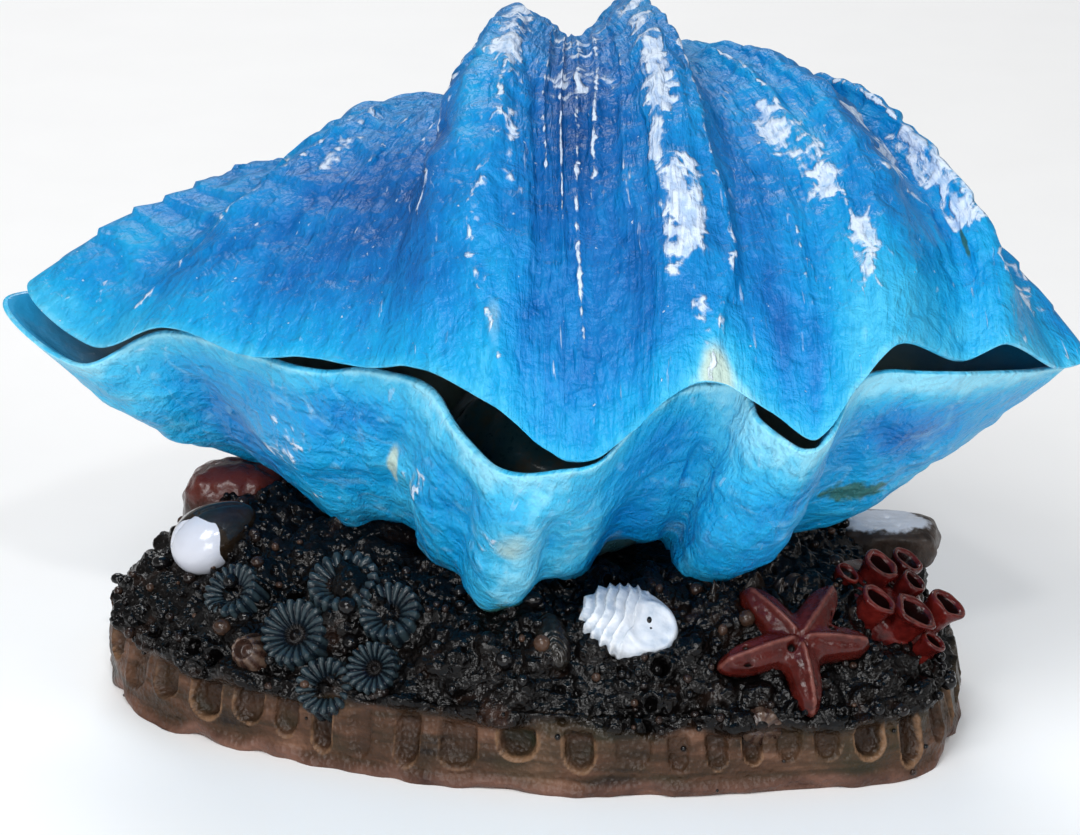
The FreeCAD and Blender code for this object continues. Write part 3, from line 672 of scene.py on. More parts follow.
def shell_lining(name, near_lip, deep_colour):
    """Inside of a valve: the lip's blue gives way to bare olive resin."""
    p = Paint(name, 0.5)
    depth = p.total((p.attribute("depth"), 1.0), (p.noise(160.0, 3.0), 0.12))
    fine = p.noise(700.0, 4.0)
    pale_colour = tuple(1.4 * c for c in deep_colour)
    inner = p.ramp(p.noise(120.0, 4.0), (0.3, deep_colour), (0.7, pale_colour))
    p.bump(fine, 0.2)
    return p.finish(p.mix(p.step(depth, 0.07, 0.26), near_lip, inner),
                    p.total((fine, 0.3), (depth, 0.4)))


upper_paint = shell_paint("upper_shell_paint", False)
lower_paint = shell_paint("lower_shell_paint", True)
upper_shell = upper.build("upper_shell", 520, 150, 30, 1.5)
add_piece(upper_shell, upper_paint, "lid", "upper_shell_paint", "upper_valve")
upper_shell.data.materials.append(
    shell_lining("upper_lining", (0.02, 0.20, 0.42), (0.52, 0.50, 0.40)))
lower_shell = lower.build("lower_shell", 520, 150, 30, 1.25)
add_piece(lower_shell, lower_paint, "base", "lower_shell_paint", "lower_valve")
lower_shell.data.materials.append(
    shell_lining("lower_lining", (0.02, 0.26, 0.50), (0.26, 0.33, 0.30)))


BEADS = 520


def flat_tree(places):
    """A search tree of places as they are seen from above."""
    tree = kdtree.KDTree(len(places))
    for i, (x, y, _) in enumerate(places):
        tree.insert((x, y, 0), i)
    tree.balance()
    return tree


def cap(gap, width):
    """Height of a round cap, 1 at the middle of its pebble."""
    return np.sqrt(np.clip(1 - (gap / width) ** 2, 0, 1))


class Rock:
    """The base: a fluted skirt, and a slope of melted gravel under the clam."""

    AROUND = 640
    SKIRT_ROWS = 44
    GRAVEL_ROWS = 100
    TOP_ROWS = 6

    def __init__(self):
        index = np.concatenate([np.linspace(0, 4.6, self.SKIRT_ROWS, endpoint=False),
                                np.linspace(4.6, 12.6, self.GRAVEL_ROWS, endpoint=False),
                                np.linspace(12.6, 15, self.TOP_ROWS)])
        scale, z = open_curve(ROCK_ROWS, index).T
        self.t = len(FOOTPRINT) * np.arange(self.AROUND) / self.AROUND
        outline = along_loop(FOOTPRINT, self.t)
        plan = ROCK_CENTRE + scale[:, None, None] * (outline - ROCK_CENTRE)
        height = np.broadcast_to(z[:, None], plan.shape[:2]).copy()
        inner = (scale[:, None] < 0.96) & (height > 8)
        bed = self.bed_heights(plan)
        sloped = height + BACK_SLOPE * plan[..., 1]
        height = np.where(inner, np.minimum(sloped, bed + BED_DEPTH), height)
        self.open = 1 - inner * blend(-0.6, 1.6, sloped - bed - BED_DEPTH + 1.0)
        self.plain = np.concatenate([plan, height[..., None]], axis=-1)
        self.normal = grid_normals(self.plain)
        self.tree = flat_tree(self.plain[self.SKIRT_ROWS:].reshape(-1, 3))
        self.flat_normals = self.normal[self.SKIRT_ROWS:].reshape(-1, 3)
        self.shape()

    def bed_heights(self, plan):
        """Height of the lower valve's underside over each place, high up outside it."""
        under = lower.outside[:-30:3, ::4].reshape(-1, 3)
        tree = flat_tree(under)
        heights = np.empty(plan.shape[:2])
        for place in np.ndindex(heights.shape):
            _, i, beyond = tree.find((*plan[place], 0))
            heights[place] = under[i, 2] + max(beyond - 1.5, 0) * 6
        return heights

    def slope_at(self, x, y):
        """Unit normal of the plain rock under a place."""
        _, i, _ = self.tree.find((x, y, 0))
        return self.flat_normals[i]

    def shape(self):
        """Flutes round the skirt, and pebbles, bubbles and pits above it."""
        points, z = self.plain, self.plain[..., 2]
        rng = np.random.RandomState(5)
        phase = FLUTES * self.t / len(FOOTPRINT)
        phase = phase + 0.28 * np.sin(5 * phase / FLUTES * 2 * math.pi)
        own = np.floor(phase).astype(int) % FLUTES
        width = rng.uniform(0.50, 0.86, FLUTES)[own]
        foot = rng.uniform(2.2, 4.6, FLUTES)[own]
        deep = rng.uniform(0.35, 1.0, FLUTES)[own]
        across = (2 * (phase % 1.0) - 1) / width
        round_foot = np.clip((foot + 1.4 - z) / 2.2, 0, None)
        oval = np.sqrt(across ** 2 + round_foot ** 2)
        below_gravel = 1 - blend(6.6, 8.2, z)
        scoop = (1 - blend(0.72, 1.02, oval)) * below_gravel
        self.scoop = scoop * deep
        self.edge = np.exp(-((oval - 1.0) / 0.17) ** 2) * below_gravel * deep
        level = points * (1, 1, 0)
        ragged = lattice_noise(level, 7.0, 61) + 0.6 * lattice_noise(level, 2.6, 65)
        self.foot = 1 - blend(0.9, 2.0, z + 0.7 * ragged)
        skirt_lumps = 0.75 * lattice_noise(points, 8.0, 62) + 0.24 * lattice_noise(points, 2.2, 63)
        brink = 7.4 + 1.1 * lattice_noise(points, 4.0, 64)
        top = blend(-0.5, 0.7, z - brink)
        gap_big, number_big = pebbles(points, 3.6, 71)
        gap_small, number_small = pebbles(points, 1.55, 72)
        gap_fine, _ = pebbles(points, 0.85, 76)
        dome = cap(gap_big, 0.62) * (number_big > 0.45)
        bead = cap(gap_small, 0.56)
        grit = cap(gap_fine, 0.6)
        pit = (1 - blend(0.16, 0.42, gap_small)) * (number_small > 0.74)
        gravel = 1.25 * lattice_noise(points, 6.5, 73) + 0.70 * lattice_noise(points, 2.8, 74)
        crater = (number_big < 0.22) * (np.exp(-((gap_big - 0.36) / 0.10) ** 2)
                                       - 1.7 * (1 - blend(0.18, 0.34, gap_big)))
        gravel += 1.0 * dome + 0.9 * crater + 0.50 * bead * (number_small < 0.74) - 0.9 * pit
        gravel += 0.22 * grit
        self.top = top
        self.tint = number_big * 0.6 + number_small * 0.4
        side = -1.5 * self.scoop + 0.25 * self.edge + (0.7 + 0.9 * ragged) * self.foot + skirt_lumps
        grow = np.where(z > 0.3, side, 0.3 * side) * (1 - top) + gravel * top
        points = points + self.normal * (grow * (0.12 + 0.88 * self.open))[..., None]
        points[..., 2] = np.maximum(points[..., 2], 0.0)
        self.points = points

    def build(self):
        """The rock's mesh, with paint marks."""
        points, faces = closed_skin(self.points)
        marks = {"top": self.top, "scoop": self.scoop, "edge": self.edge,
                 "foot": self.foot, "tint": self.tint}
        return new_mesh("rock_base_look", points, faces,
                        {key: with_ends(values) for key, values in marks.items()})

    def beads(self, count, seed):
        """Small melted beads that cling to the gravel and along the skirt's foot."""
        rng = np.random.RandomState(seed)
        ball, ball_faces = round_ball(2)
        points, faces, shade = [], [], []
        made = 0
        while made < count:
            row = rng.randint(6, 128)
            column = rng.randint(self.AROUND)
            on_skirt = self.top[row, column] < 0.5
            if self.open[row, column] < 0.85 or (on_skirt and rng.uniform() > 0.10):
                continue
            radius = rng.uniform(0.28, 0.62) if rng.uniform() < 0.86 else rng.uniform(0.7, 1.15)
            if on_skirt:
                radius *= 0.6
            squash = rng.uniform(0.75, 1.1, 3)
            centre = self.points[row, column] + self.normal[row, column] * radius * 0.35
            if centre[2] < radius:
                continue
            faces += [tuple(i + made * len(ball) for i in face) for face in ball_faces]
            points.append(centre + ball * squash * radius)
            shade += [rng.uniform()] * len(ball)
            made += 1
        return new_mesh("gravel_beads", np.concatenate(points), faces, {"shade": shade})


def round_ball(subdivisions):
    """Points and faces of a unit ball."""
    mesh = bmesh.new()
    bmesh.ops.create_icosphere(mesh, subdivisions=subdivisions, radius=1.0)
    points = np.array([v.co[:] for v in mesh.verts])
    faces = [tuple(v.index for v in face.verts) for face in mesh.faces]
    mesh.free()
    return points, faces


def rock_paint():
    """Varnished black gravel over a skirt of brown, pink and beige streaks."""
    p = Paint("rock_paint", 0.25, coat=0.0, specular=0.20)
    wide = p.noise(110.0, 4.0, distortion=0.8)
    fine = p.noise(900.0, 4.0)
    layered = p.noise(1.0, 5.0, p.stretched(p.place, (90.0, 90.0, 620.0)), 0.5)
    top, tint = p.attribute("top"), p.attribute("tint")
    skirt = p.ramp(p.total((layered, 0.55), (wide, 0.45)),
                   (0.36, (0.010, 0.006, 0.004)), (0.45, (0.034, 0.019, 0.010)),
                   (0.54, (0.062, 0.030, 0.017)), (0.68, (0.150, 0.075, 0.046)))
    green = p.step(p.noise(70.0, 2.0), 0.50, 0.62)
    skirt = p.mix(p.math("MULTIPLY", green, 0.35), skirt, (0.026, 0.028, 0.013))
    scoop_colour = p.ramp(wide, (0.35, (0.009, 0.005, 0.004)), (0.52, (0.028, 0.014, 0.008)),
                          (0.70, (0.008, 0.012, 0.006)))
    skirt = p.mix(p.math("MULTIPLY", p.attribute("scoop"), 0.95), skirt, scoop_colour)
    worn_edge = p.step(p.total((p.attribute("edge"), 1.0), (fine, 0.9)), 0.85, 1.45)
    skirt = p.mix(worn_edge, skirt, (0.17, 0.095, 0.052))
    foot_colour = p.ramp(wide, (0.35, (0.040, 0.016, 0.012)), (0.65, (0.17, 0.085, 0.062)))
    skirt = p.mix(p.math("MULTIPLY", p.attribute("foot"), 0.75), skirt, foot_colour)
    gravel = p.ramp(p.total((tint, 0.55), (wide, 0.45)),
                    (0.46, (0.0018, 0.0015, 0.0016)), (0.64, (0.004, 0.0028, 0.0024)),
                    (0.78, (0.016, 0.008, 0.0055)), (0.92, (0.045, 0.022, 0.015)))
    colour = p.mix(top, skirt, gravel)
    rough = p.total((top, -0.20), (fine, 0.24), (wide, 0.16))
    rough = p.math("ADD", rough, 0.16, clamp=True)
    p.bump(p.total((fine, 0.7), (layered, 0.25), (p.cells(1500.0), 0.5)), 0.35)
    return p.finish(colour, rough)


def bead_paint():
    """Glossy black beads, some of them brown or beige."""
    p = Paint("bead_paint", 0.12, coat=0.0, specular=0.30)
    fine = p.noise(1400.0, 3.0)
    shade = p.total((p.attribute("shade"), 0.8), (fine, 0.2))
    colour = p.ramp(shade, (0.55, (0.0035, 0.0032, 0.0036)), (0.78, (0.016, 0.009, 0.007)),
                    (0.95, (0.085, 0.045, 0.028)))
    p.bump(fine, 0.08)
    return p.finish(colour, p.total((fine, 0.2), (shade, 0.06)))


rock = Rock()
add_piece(rock.build(), rock_paint(), "base", "rock_paint", "rock_base")
add_piece(rock.beads(BEADS, 3), bead_paint(), "base", "rock_paint")


BLACK = (0.004, 0.003, 0.003)
# Rosette corals: the turn of each in degrees, in the order of their CAD nodes.
ROSETTE_SPINS = (10, 40, 75, 20, 130, 60)
ROSETTE_SPREAD = 1.28
# Starfish rays: direction in degrees and length in mm.
STAR_RAYS = [(20, 8.0), (72, 8.5), (143, 8.0), (213, 8.5), (295, 7.5)]
STAR_DISC = 3.4
# Tube corals: x and y in the cluster, radius and height, in mm.
TUBES = [
    (0.0, 0.6, 2.1, 3.2), (4.4, -3.4, 2.6, 3.2), (7.2, 0.8, 2.1, 3.6), (2.6, 4.6, 1.9, 3.1),
    (0.6, -5.0, 2.2, 2.7), (7.4, -4.6, 1.5, 2.0), (-2.8, -2.4, 1.5, 1.6), (3.4, 0.8, 1.6, 3.6),
]
TUBE_MIDDLE = (2.6, -0.4)
MOUND_RADIUS = 8.4
BLADES = 13
BARNACLES = {"front_barnacle": (1.9, 1.6), "left_barnacle": (2.3, 2.2)}
COWRIE_RADII = (5.4, 4.3, 3.6)
MUSSEL_RADII = (1.8, 3.4, 1.6)
RED_STONE_RADII = (6.5, 6.0, 6.0)
FLAT_STONE_RADII = (6.0, 4.5, 2.6)
FAN_HALF = (5.7, 4.2)


def polar_grid(rings, around):
    """Angle, and distance from 0 at the middle to 1 at the edge, edge row first."""
    away = np.linspace(1, 0.02, rings)[:, None]
    angle = 2 * math.pi * np.arange(around)[None, :] / around
    return np.broadcast_arrays(angle, away)


def ball_grid(rows, around, margin):
    """Angle down from the top, angle round, and the unit vector of each grid point."""
    down = np.linspace(margin, math.pi - margin, rows)[:, None]
    angle = 2 * math.pi * np.arange(around)[None, :] / around
    down, angle = np.broadcast_arrays(down, angle)
    flat = np.sin(down)
    return down, angle, np.stack([flat * np.cos(angle), flat * np.sin(angle), np.cos(down)], -1)


def polar_skin(angle, reach, height):
    """Points from polar places and their heights."""
    return np.stack([reach * np.cos(angle), reach * np.sin(angle), height], axis=-1)


def node_box(node):
    """A CAD node's lowest and highest corners, in millimetres from PLACE."""
    return [(np.array(corner) - PLACE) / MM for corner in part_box(node)]


def seat(points, node, spin, rise):
    """Turns a piece to the slope under a CAD node and brings its top to that node's."""
    low, high = node_box(node)
    middle = (low + high) / 2
    normal = Vector(rock.slope_at(middle[0], middle[1]))
    turn = np.array(Vector((0, 0, 1)).rotation_difference(normal).to_matrix())
    a = math.radians(spin)
    spun = np.array([[math.cos(a), -math.sin(a), 0], [math.sin(a), math.cos(a), 0], [0, 0, 1]])
    points = points @ (turn @ spun).T
    shift = middle - (points.min(axis=0) + points.max(axis=0)) / 2
    shift[2] = high[2] + rise - points[:, 2].max()
    return points + shift


def rosette(radius, ribs, seed):
    """A round coral: ribs run in over a raised rim to a small knob in a dish."""
    angle, away = polar_grid(30, 168)
    rng = np.random.RandomState(seed)
    sway = 0.25 * np.sin(3 * angle + rng.uniform(0, 6)) + 0.2 * np.sin(2 * angle + 1)
    rib = np.abs(np.cos(0.5 * (ribs * angle + 1.6 * away + sway))) ** 0.55
    wall = blend(0.86, 1.0, away)
    dish = 0.34 * blend(0.16, 0.80, away) + 0.20 * np.exp(-(away / 0.14) ** 2)
    height = radius * (dish - 0.9 * wall ** 1.4)
    height += (0.85 * rib - 0.3) * blend(0.12, 0.42, away) * (1 - 0.4 * wall)
    reach = radius * away * (1 + 0.13 * (rib - 0.5) * away + 0.05 * np.sin(angle + seed))
    points, faces = closed_skin(polar_skin(angle, reach, height))
    return points, faces, {"ridge": with_ends(rib * blend(0.2, 0.5, away)),
                           "dish": with_ends(1 - blend(0.15, 0.45, away))}


def sea_star():
    """Webbed rays with a sharp keel along each, curling down at the edge."""
    angle, away = polar_grid(34, 300)
    turns = [angle - math.radians(ray) for ray, _ in STAR_RAYS]
    gaps = [np.abs(np.arctan2(np.sin(turn), np.cos(turn))) for turn in turns]
    outline = STAR_DISC + sum((length + 0.8 - STAR_DISC) * np.exp(-(gap / 0.34) ** 2)
                              for gap, (_, length) in zip(gaps, STAR_RAYS))
    reach = outline * away
    aside = reach * np.sin(np.minimum(np.minimum.reduce(gaps), math.pi / 2))
    keel = np.exp(-(aside / 0.42) ** 2) * blend(0.0, 1.2, reach)
    body = 2.1 * (1 - away ** 2.4) ** 0.55 * (1 - 0.38 * blend(2.5, 9.0, reach))
    height = body + 0.50 * keel * (1 - blend(0.85, 1.0, away)) - 1.1 * blend(0.90, 1.0, away)
    points = polar_skin(angle, reach, height)
    lumps = 0.16 * lattice_noise(points, 1.6, 91) + 0.10 * lattice_noise(points, 0.7, 92)
    points[..., 2] += lumps * (1 - keel)
    gap, pick = pebbles(points * (1, 1, 0), 2.1, 93)
    pit = (1 - blend(0.14, 0.30, gap)) * (pick > 0.35) * (1 - keel) * (away < 0.86)
    points[..., 2] -= 0.75 * pit
    points, faces = closed_skin(points)
    return points, faces, {"ridge": with_ends(keel), "pit": with_ends(pit)}


def turned_rows(profile, steps, around, wobble, seed, lean=(0.0, 0.0)):
    """Rings of a turned shape through radius and height pairs, leaning and uneven."""
    profile = np.array(profile, dtype=float)
    t = np.linspace(0, len(profile) - 1, steps)
    angle = 2 * math.pi * np.arange(around) / around
    rows = []
    for radius, z in np.maximum(open_curve(profile, t), (0.01, -9)):
        ring = polar_skin(angle, radius, np.full(around, z))
        ring[:, :2] *= 1 + wobble * lattice_noise(ring + seed * 7.3, 1.7, 80 + seed)[:, None]
        ring[:, :2] += np.array(lean) * (z + 3)
        rows.append(ring)
    return np.array(rows)


def joined(parts):
    """Several skins as one set of points, faces and attributes."""
    points, faces, marks = [], [], {}
    start = 0
    for part_points, part_faces, part_marks in parts:
        points.append(part_points)
        faces += [tuple(i + start for i in face) for face in part_faces]
        for key, values in part_marks.items():
            marks.setdefault(key, []).append(values)
        start += len(part_points)
    return np.concatenate(points), faces, {k: np.concatenate(v) for k, v in marks.items()}


def coral_tube(number, x, y, radius, height):
    """One flared cup with a thick rim and a dark bore."""
    steps, around = 34, 54
    profile = [
        (radius * 1.15, -3.5), (radius * 0.84, -0.5), (radius * 0.86, height * 0.6),
        (radius * 1.04, height), (radius * 0.92, height + 0.32), (radius * 0.72, height + 0.1),
        (radius * 0.62, height - 0.9), (radius * 0.45, height - 1.9), (0.05, height - 2.3),
    ]
    lean = ((x - TUBE_MIDDLE[0]) * 0.035, (y - TUBE_MIDDLE[1]) * 0.035)
    rows = turned_rows(profile, steps, around, 0.10, number, lean) + (x, y, 0)
    rows += 0.13 * lattice_noise(rows, 1.2, 60 + number)[..., None]
    row = np.arange(steps)[:, None] * np.ones(around)
    points, faces = closed_skin(rows)
    return points, faces, {"within": with_ends(1.0 * (row >= 22)),
                           "ridge": with_ends(np.exp(-((row - 16.5) / 2.2) ** 2))}


def coral_tubes():
    """The flared cups, leaning out of one mound."""
    parts = [coral_tube(number, *tube) for number, tube in enumerate(TUBES)]
    angle, away = polar_grid(26, 110)
    height = 1.6 * (1 - away ** 2) - 2.4 * blend(0.8, 1.0, away)
    mound = polar_skin(angle, MOUND_RADIUS * away, height) * (1, 0.85, 1) + (*TUBE_MIDDLE, 0)
    mound[..., 2] += 0.8 * lattice_noise(mound, 2.6, 95)
    points, faces = closed_skin(mound)
    plain = with_ends(away * 0)
    return joined(parts + [(points, faces, {"within": plain, "ridge": plain})])


def fan_shell():
    """A small fan shell: stepped ribs on one half, a smooth lobe on the other."""
    angle, away = polar_grid(44, 220)
    x = FAN_HALF[0] * away * np.cos(angle)
    y = FAN_HALF[1] * away * np.sin(angle)
    ribbed = blend(1.6, -0.6, x)
    phase = (x + 0.05 * y * y + 0.12 * y + 0.16 * np.sin(1.7 * y)) / 1.15 + 0.45
    step = (1 - phase % 1.0) ** 0.8 * ribbed
    serrate = 1 + 0.055 * np.cos(2 * math.pi * phase) * ribbed * blend(0.7, 1.0, away)
    height = 2.5 * np.sqrt(np.clip(1 - away ** 2.2, 0, 1)) - 1.2 * blend(0.93, 1.0, away)
    lobe = ((x - 2.6) / 2.3) ** 2 + ((y + 0.2) / 2.4) ** 2
    height -= 0.75 * np.exp(-lobe) - 0.35 * np.exp(-((lobe - 1.3) / 0.5) ** 2) * (1 - ribbed)
    points = np.stack([x * serrate, y * serrate, height + 0.75 * step], axis=-1)
    points[..., 2] += 0.10 * lattice_noise(points, 1.1, 96)
    points, faces = closed_skin(points)
    return points, faces, {"ridge": with_ends(step)}


def lumpy_ball(radii, rough, seed, square, rows, around):
    """A stone: a ball squashed to three radii, its sides squared and roughened."""
    unit = ball_grid(rows, around, 0.03)[2]
    size = np.sum(np.abs(unit) ** square, axis=-1) ** (-1 / square)
    points = unit * size[..., None] * radii
    wide = lattice_noise(points + seed, max(radii) * 0.55, seed)
    fine = lattice_noise(points + seed, max(radii) * 0.17, seed + 1)
    points, faces = closed_skin(points * (1 + rough * wide + 0.4 * rough * fine)[..., None])
    return points, faces, {"up": with_ends(unit[..., 2])}


def cowrie():
    """A glossy egg-shaped shell, drawn to a point, with a toothed slot along it."""
    points, faces, marks = lumpy_ball(COWRIE_RADII, 0.012, 41, 2.0, 60, 120)
    along = points[:, 0] / COWRIE_RADII[0]
    points[:, 1:] *= (1 - 0.20 * along - 0.10 * along ** 2)[:, None]
    slot = np.exp(-(points[:, 1] / 0.30) ** 2) * (marks["up"] > 0.3) * (np.abs(along) < 0.86)
    teeth = 0.5 + 0.5 * np.cos(2 * math.pi * points[:, 0] / 0.8)
    points[:, 2] -= 0.34 * slot * (0.6 + 0.4 * teeth)
    side = -0.55 * along - 0.5 * points[:, 1] / COWRIE_RADII[1] + 0.25 * marks["up"] - 0.22
    return points, faces, {"patch": blend(0.10, 0.30, side + 0.12 * lattice_noise(points, 2.4, 42))}


def mussel():
    """A dark oval shell with faint growth rings."""
    points, faces, marks = lumpy_ball(MUSSEL_RADII, 0.02, 44, 2.1, 40, 72)
    rings = np.sin(2 * math.pi * np.hypot(points[:, 0] * 1.8, points[:, 1] + 2.4) / 0.75)
    points[:, 2] += 0.05 * rings * (marks["up"] > 0)
    return points, faces, marks


def blade(x, y, turn, length, width, curl, seed):
    """One thick leathery leaf that curls over and has a wavy edge."""
    steps, around = 22, 24
    f = np.linspace(0, 1, steps)[:, None]
    a = 2 * math.pi * np.arange(around)[None, :] / around
    bend = curl * f
    across = (width * (0.35 + 1.3 * f - 1.55 * f ** 3.2) + 0.05) * np.cos(a)
    thick = (0.30 - 0.14 * f) * np.sin(a)
    wave = 0.55 * f * np.sin(7 * f + 2.5 * np.cos(a) + seed) * np.abs(np.cos(a))
    over = length * (1 - np.cos(bend)) / curl + thick * np.sin(bend)
    up = length * np.sin(bend) / curl - thick * np.cos(bend) + wave
    c, s = math.cos(math.radians(turn)), math.sin(math.radians(turn))
    rows = np.stack([across * c - over * s + x, across * s + over * c + y, up], axis=-1)
    points, faces = closed_skin(rows)
    return points, faces, {"ridge": with_ends(np.abs(np.cos(a + 0 * f)) ** 6)}


def leaf_tuft():
    """A row of leaves, each with its own turn, length and curl."""
    rng = np.random.RandomState(17)
    leaves = []
    for i in range(BLADES):
        x = 1.08 * i - 6.5 + rng.uniform(-0.4, 0.4)
        leaves.append(blade(x, rng.uniform(-1.2, 1.2), rng.uniform(-70, 70), rng.uniform(3.2, 5.6),
                            rng.uniform(0.9, 1.5), rng.uniform(0.5, 1.5), rng.uniform(0, 6)))
    return joined(leaves)


def barnacle(radius, height, seed):
    """A ribbed cone with a sunken mouth."""
    steps, around = 30, 72
    profile = [
        (radius * 1.15, -1.5), (radius, 0), (radius * 0.80, height * 0.6), (radius * 0.62, height),
        (radius * 0.50, height + 0.05), (radius * 0.40, height - 0.5),
        (radius * 0.30, height - 1.0), (0.05, height - 0.7),
    ]
    rows = turned_rows(profile, steps, around, 0.05, seed)
    rib = np.abs(np.cos(4.5 * 2 * math.pi * np.arange(around) / around)) ** 0.6
    outer = (np.arange(steps) < 18)[:, None]
    rows[..., :2] *= (1 + 0.10 * (rib - 0.6) * outer)[..., None]
    points, faces = closed_skin(rows)
    return points, faces, {"ridge": with_ends(rib * outer)}


def mantle():
    """The clam's body: a fleshy mound with pleated lips round its top."""
    low, high = node_box("clam_body")
    down, angle, unit = ball_grid(90, 180, 0.02)
    points = unit * (high - low) / 2
    pleat = np.sin(9 * angle + 1.2 * np.sin(3 * down)) * np.exp(-((down - 0.75) / 0.28) ** 2)
    fold = np.exp(-((down - 0.42) / 0.07) ** 2)
    swell = 0.45 * pleat - 0.55 * fold + 0.35 * lattice_noise(points, 4.5, 33) - 0.5
    points, faces = closed_skin(points + unit * swell[..., None] + (low + high) / 2)
    return points, faces, {"fold": with_ends(fold)}


def resin_paint(name, colours, roughness, bump_mm, coat=0.0, ridge=None, pits=None, patch=None):
    """Glossy mottled resin: paler on its ridges (a painted highlight on the starfish's keels), dark
    in its pits, or with a ragged patch.
    """
    swirl, lumps = (0.6, 240.0) if patch else (0.5, 260.0)
    p = Paint(name, roughness, coat, 0.30)
    wide = p.noise(lumps, 4.0, distortion=swirl)
    fine = p.noise(5 * lumps, 4.0)
    stops = [(0.34 + 0.16 * i, colour) for i, colour in enumerate(colours)]
    colour = p.ramp(p.total((wide, 0.7), (fine, 0.3)), *stops)
    if ridge:
        ridge_colour, amount = ridge
        # Paler paint along the ridges; on the starfish it is a painted highlight on the keels.
        worn = p.step(p.total((p.attribute("ridge"), 1.0), (fine, 0.9), (wide, 0.5)), 1.20, 1.75)
        colour = p.mix(p.math("MULTIPLY", worn, amount), colour, ridge_colour)
    if pits:
        mark, pit_colour = pits
        colour = p.mix(p.step(p.attribute(mark), 0.2, 0.7), colour, pit_colour)
    if patch:
        mark, patch_colour, low, high = patch
        mask = p.total((p.attribute(mark), 1.0), (wide, 0.5), (fine, 0.3))
        colour = p.mix(p.step(mask, low, high), colour, patch_colour)
    p.bump(p.total((fine, 0.7), (wide, swirl)), bump_mm)
    return p.finish(colour, p.total((fine, roughness), (wide, roughness)))


def decorate(name, node, slot, paint, skin, spin, rise):
    """Seats a piece of sea life on the rock in place of its CAD node."""
    points, faces, marks = skin
    piece = new_mesh(name, seat(points, node, spin, rise), faces, marks)
    add_piece(piece, paint, "base", slot, node)


def stone(name, node, slot, paint, skin, scale):
    """Sets a stone at the middle of its CAD node."""
    points, faces, marks = skin
    low, high = node_box(node)
    piece = new_mesh(name, points * scale + (low + high) / 2, faces, marks)
    add_piece(piece, paint, "base", slot, node)


def place_rosettes():
    slate = resin_paint(
        "slate_coral_paint", [(0.0035, 0.006, 0.010), (0.006, 0.012, 0.018), (0.004, 0.005, 0.016)],
        0.20, 0.14, ridge=((0.030, 0.048, 0.055), 0.70), pits=("dish", BLACK))
    for number, spin in enumerate(ROSETTE_SPINS, 1):
        node = "star_coral_%d" % number
        low, high = node_box(node)
        radius = (high[0] - low[0]) / 2 * ROSETTE_SPREAD
        decorate(node + "_look", node, "coral_paint", slate,
                 rosette(radius, 17 + number % 3, number), spin, 0.5)


def place_red_corals():
    # The starfish's paler red along its keels is a painted highlight on the crests.
    star_red_and_highlight = resin_paint(
        "starfish_paint_and_highlight", [(0.030, 0.003, 0.002), (0.062, 0.007, 0.005), (0.040, 0.004, 0.003)],
        0.24, 0.14, ridge=((0.24, 0.085, 0.065), 0.45), pits=("pit", BLACK))
    decorate("starfish_look", "starfish", "red_paint", star_red_and_highlight, sea_star(), 0, 0.5)
    tube_red = resin_paint(
        "tube_coral_paint", [(0.020, 0.002, 0.002), (0.075, 0.006, 0.005), (0.13, 0.012, 0.009)],
        0.16, 0.14, ridge=((0.22, 0.07, 0.05), 0.45), pits=("within", (0.012, 0.003, 0.003)))
    decorate("tube_coral_look", "tube_coral", "red_paint", tube_red, coral_tubes(), 0, 0.6)


def place_shells():
    shell_white = resin_paint(
        "scallop_paint", [(0.34, 0.42, 0.52), (0.56, 0.60, 0.66), (0.70, 0.72, 0.76)],
        0.30, 0.10, 0.2, ridge=((0.86, 0.87, 0.88), 0.8))
    decorate("white_scallop_look", "white_scallop", "white_paint", shell_white, fan_shell(), -14, 0.3)
    cowrie_dark = resin_paint(
        "cowrie_paint", [(0.008, 0.005, 0.003), (0.018, 0.011, 0.006), (0.006, 0.004, 0.003)],
        0.16, 0.05, 0.5, patch=("patch", (0.55, 0.57, 0.64), 0.85, 0.92))
    decorate("cowrie_look", "cowrie_shell", "cowrie_paint", cowrie_dark, cowrie(), 20, 0.2)
    mussel_black = resin_paint(
        "mussel_paint", [(0.004, 0.004, 0.004), (0.010, 0.008, 0.006), (0.006, 0.005, 0.007)],
        0.18, 0.06)
    decorate("dark_mussel_look", "dark_mussel", "cowrie_paint", mussel_black, mussel(), 20, 0.2)


def place_stones():
    # The red stone is red only on its top; lower down it is painted dark brown as shade on its
    # underside.
    red_rock_painted_shade = resin_paint(
        "red_stone_paint_and_shade", [(0.012, 0.006, 0.004), (0.030, 0.014, 0.009), (0.008, 0.005, 0.004)],
        0.30, 0.25, 0.25, patch=("up", (0.105, 0.018, 0.012), 0.55, 1.05))
    stone("red_stone_look", "red_stone", "red_paint", red_rock_painted_shade,
          lumpy_ball(RED_STONE_RADII, 0.10, 21, 2.6, 60, 110), 0.98)
    white_top = resin_paint(
        "flat_stone_paint", [(0.015, 0.010, 0.008), (0.045, 0.028, 0.020), (0.020, 0.015, 0.012)],
        0.45, 0.25, 0.1, patch=("up", (0.60, 0.62, 0.68), 1.05, 1.20))
    stone("flat_stone_look", "flat_stone", "white_paint", white_top,
          lumpy_ball(FLAT_STONE_RADII, 0.10, 27, 4.5, 50, 110), 0.95)


def place_leaves():
    leaf_black = resin_paint(
        "leaf_coral_paint", [(0.004, 0.003, 0.003), (0.012, 0.007, 0.005), (0.006, 0.006, 0.005)],
        0.18, 0.12, ridge=((0.06, 0.045, 0.035), 0.5))
    decorate("leaf_coral_look", "leaf_coral", "cowrie_paint", leaf_black, leaf_tuft(), 25, 0.2)


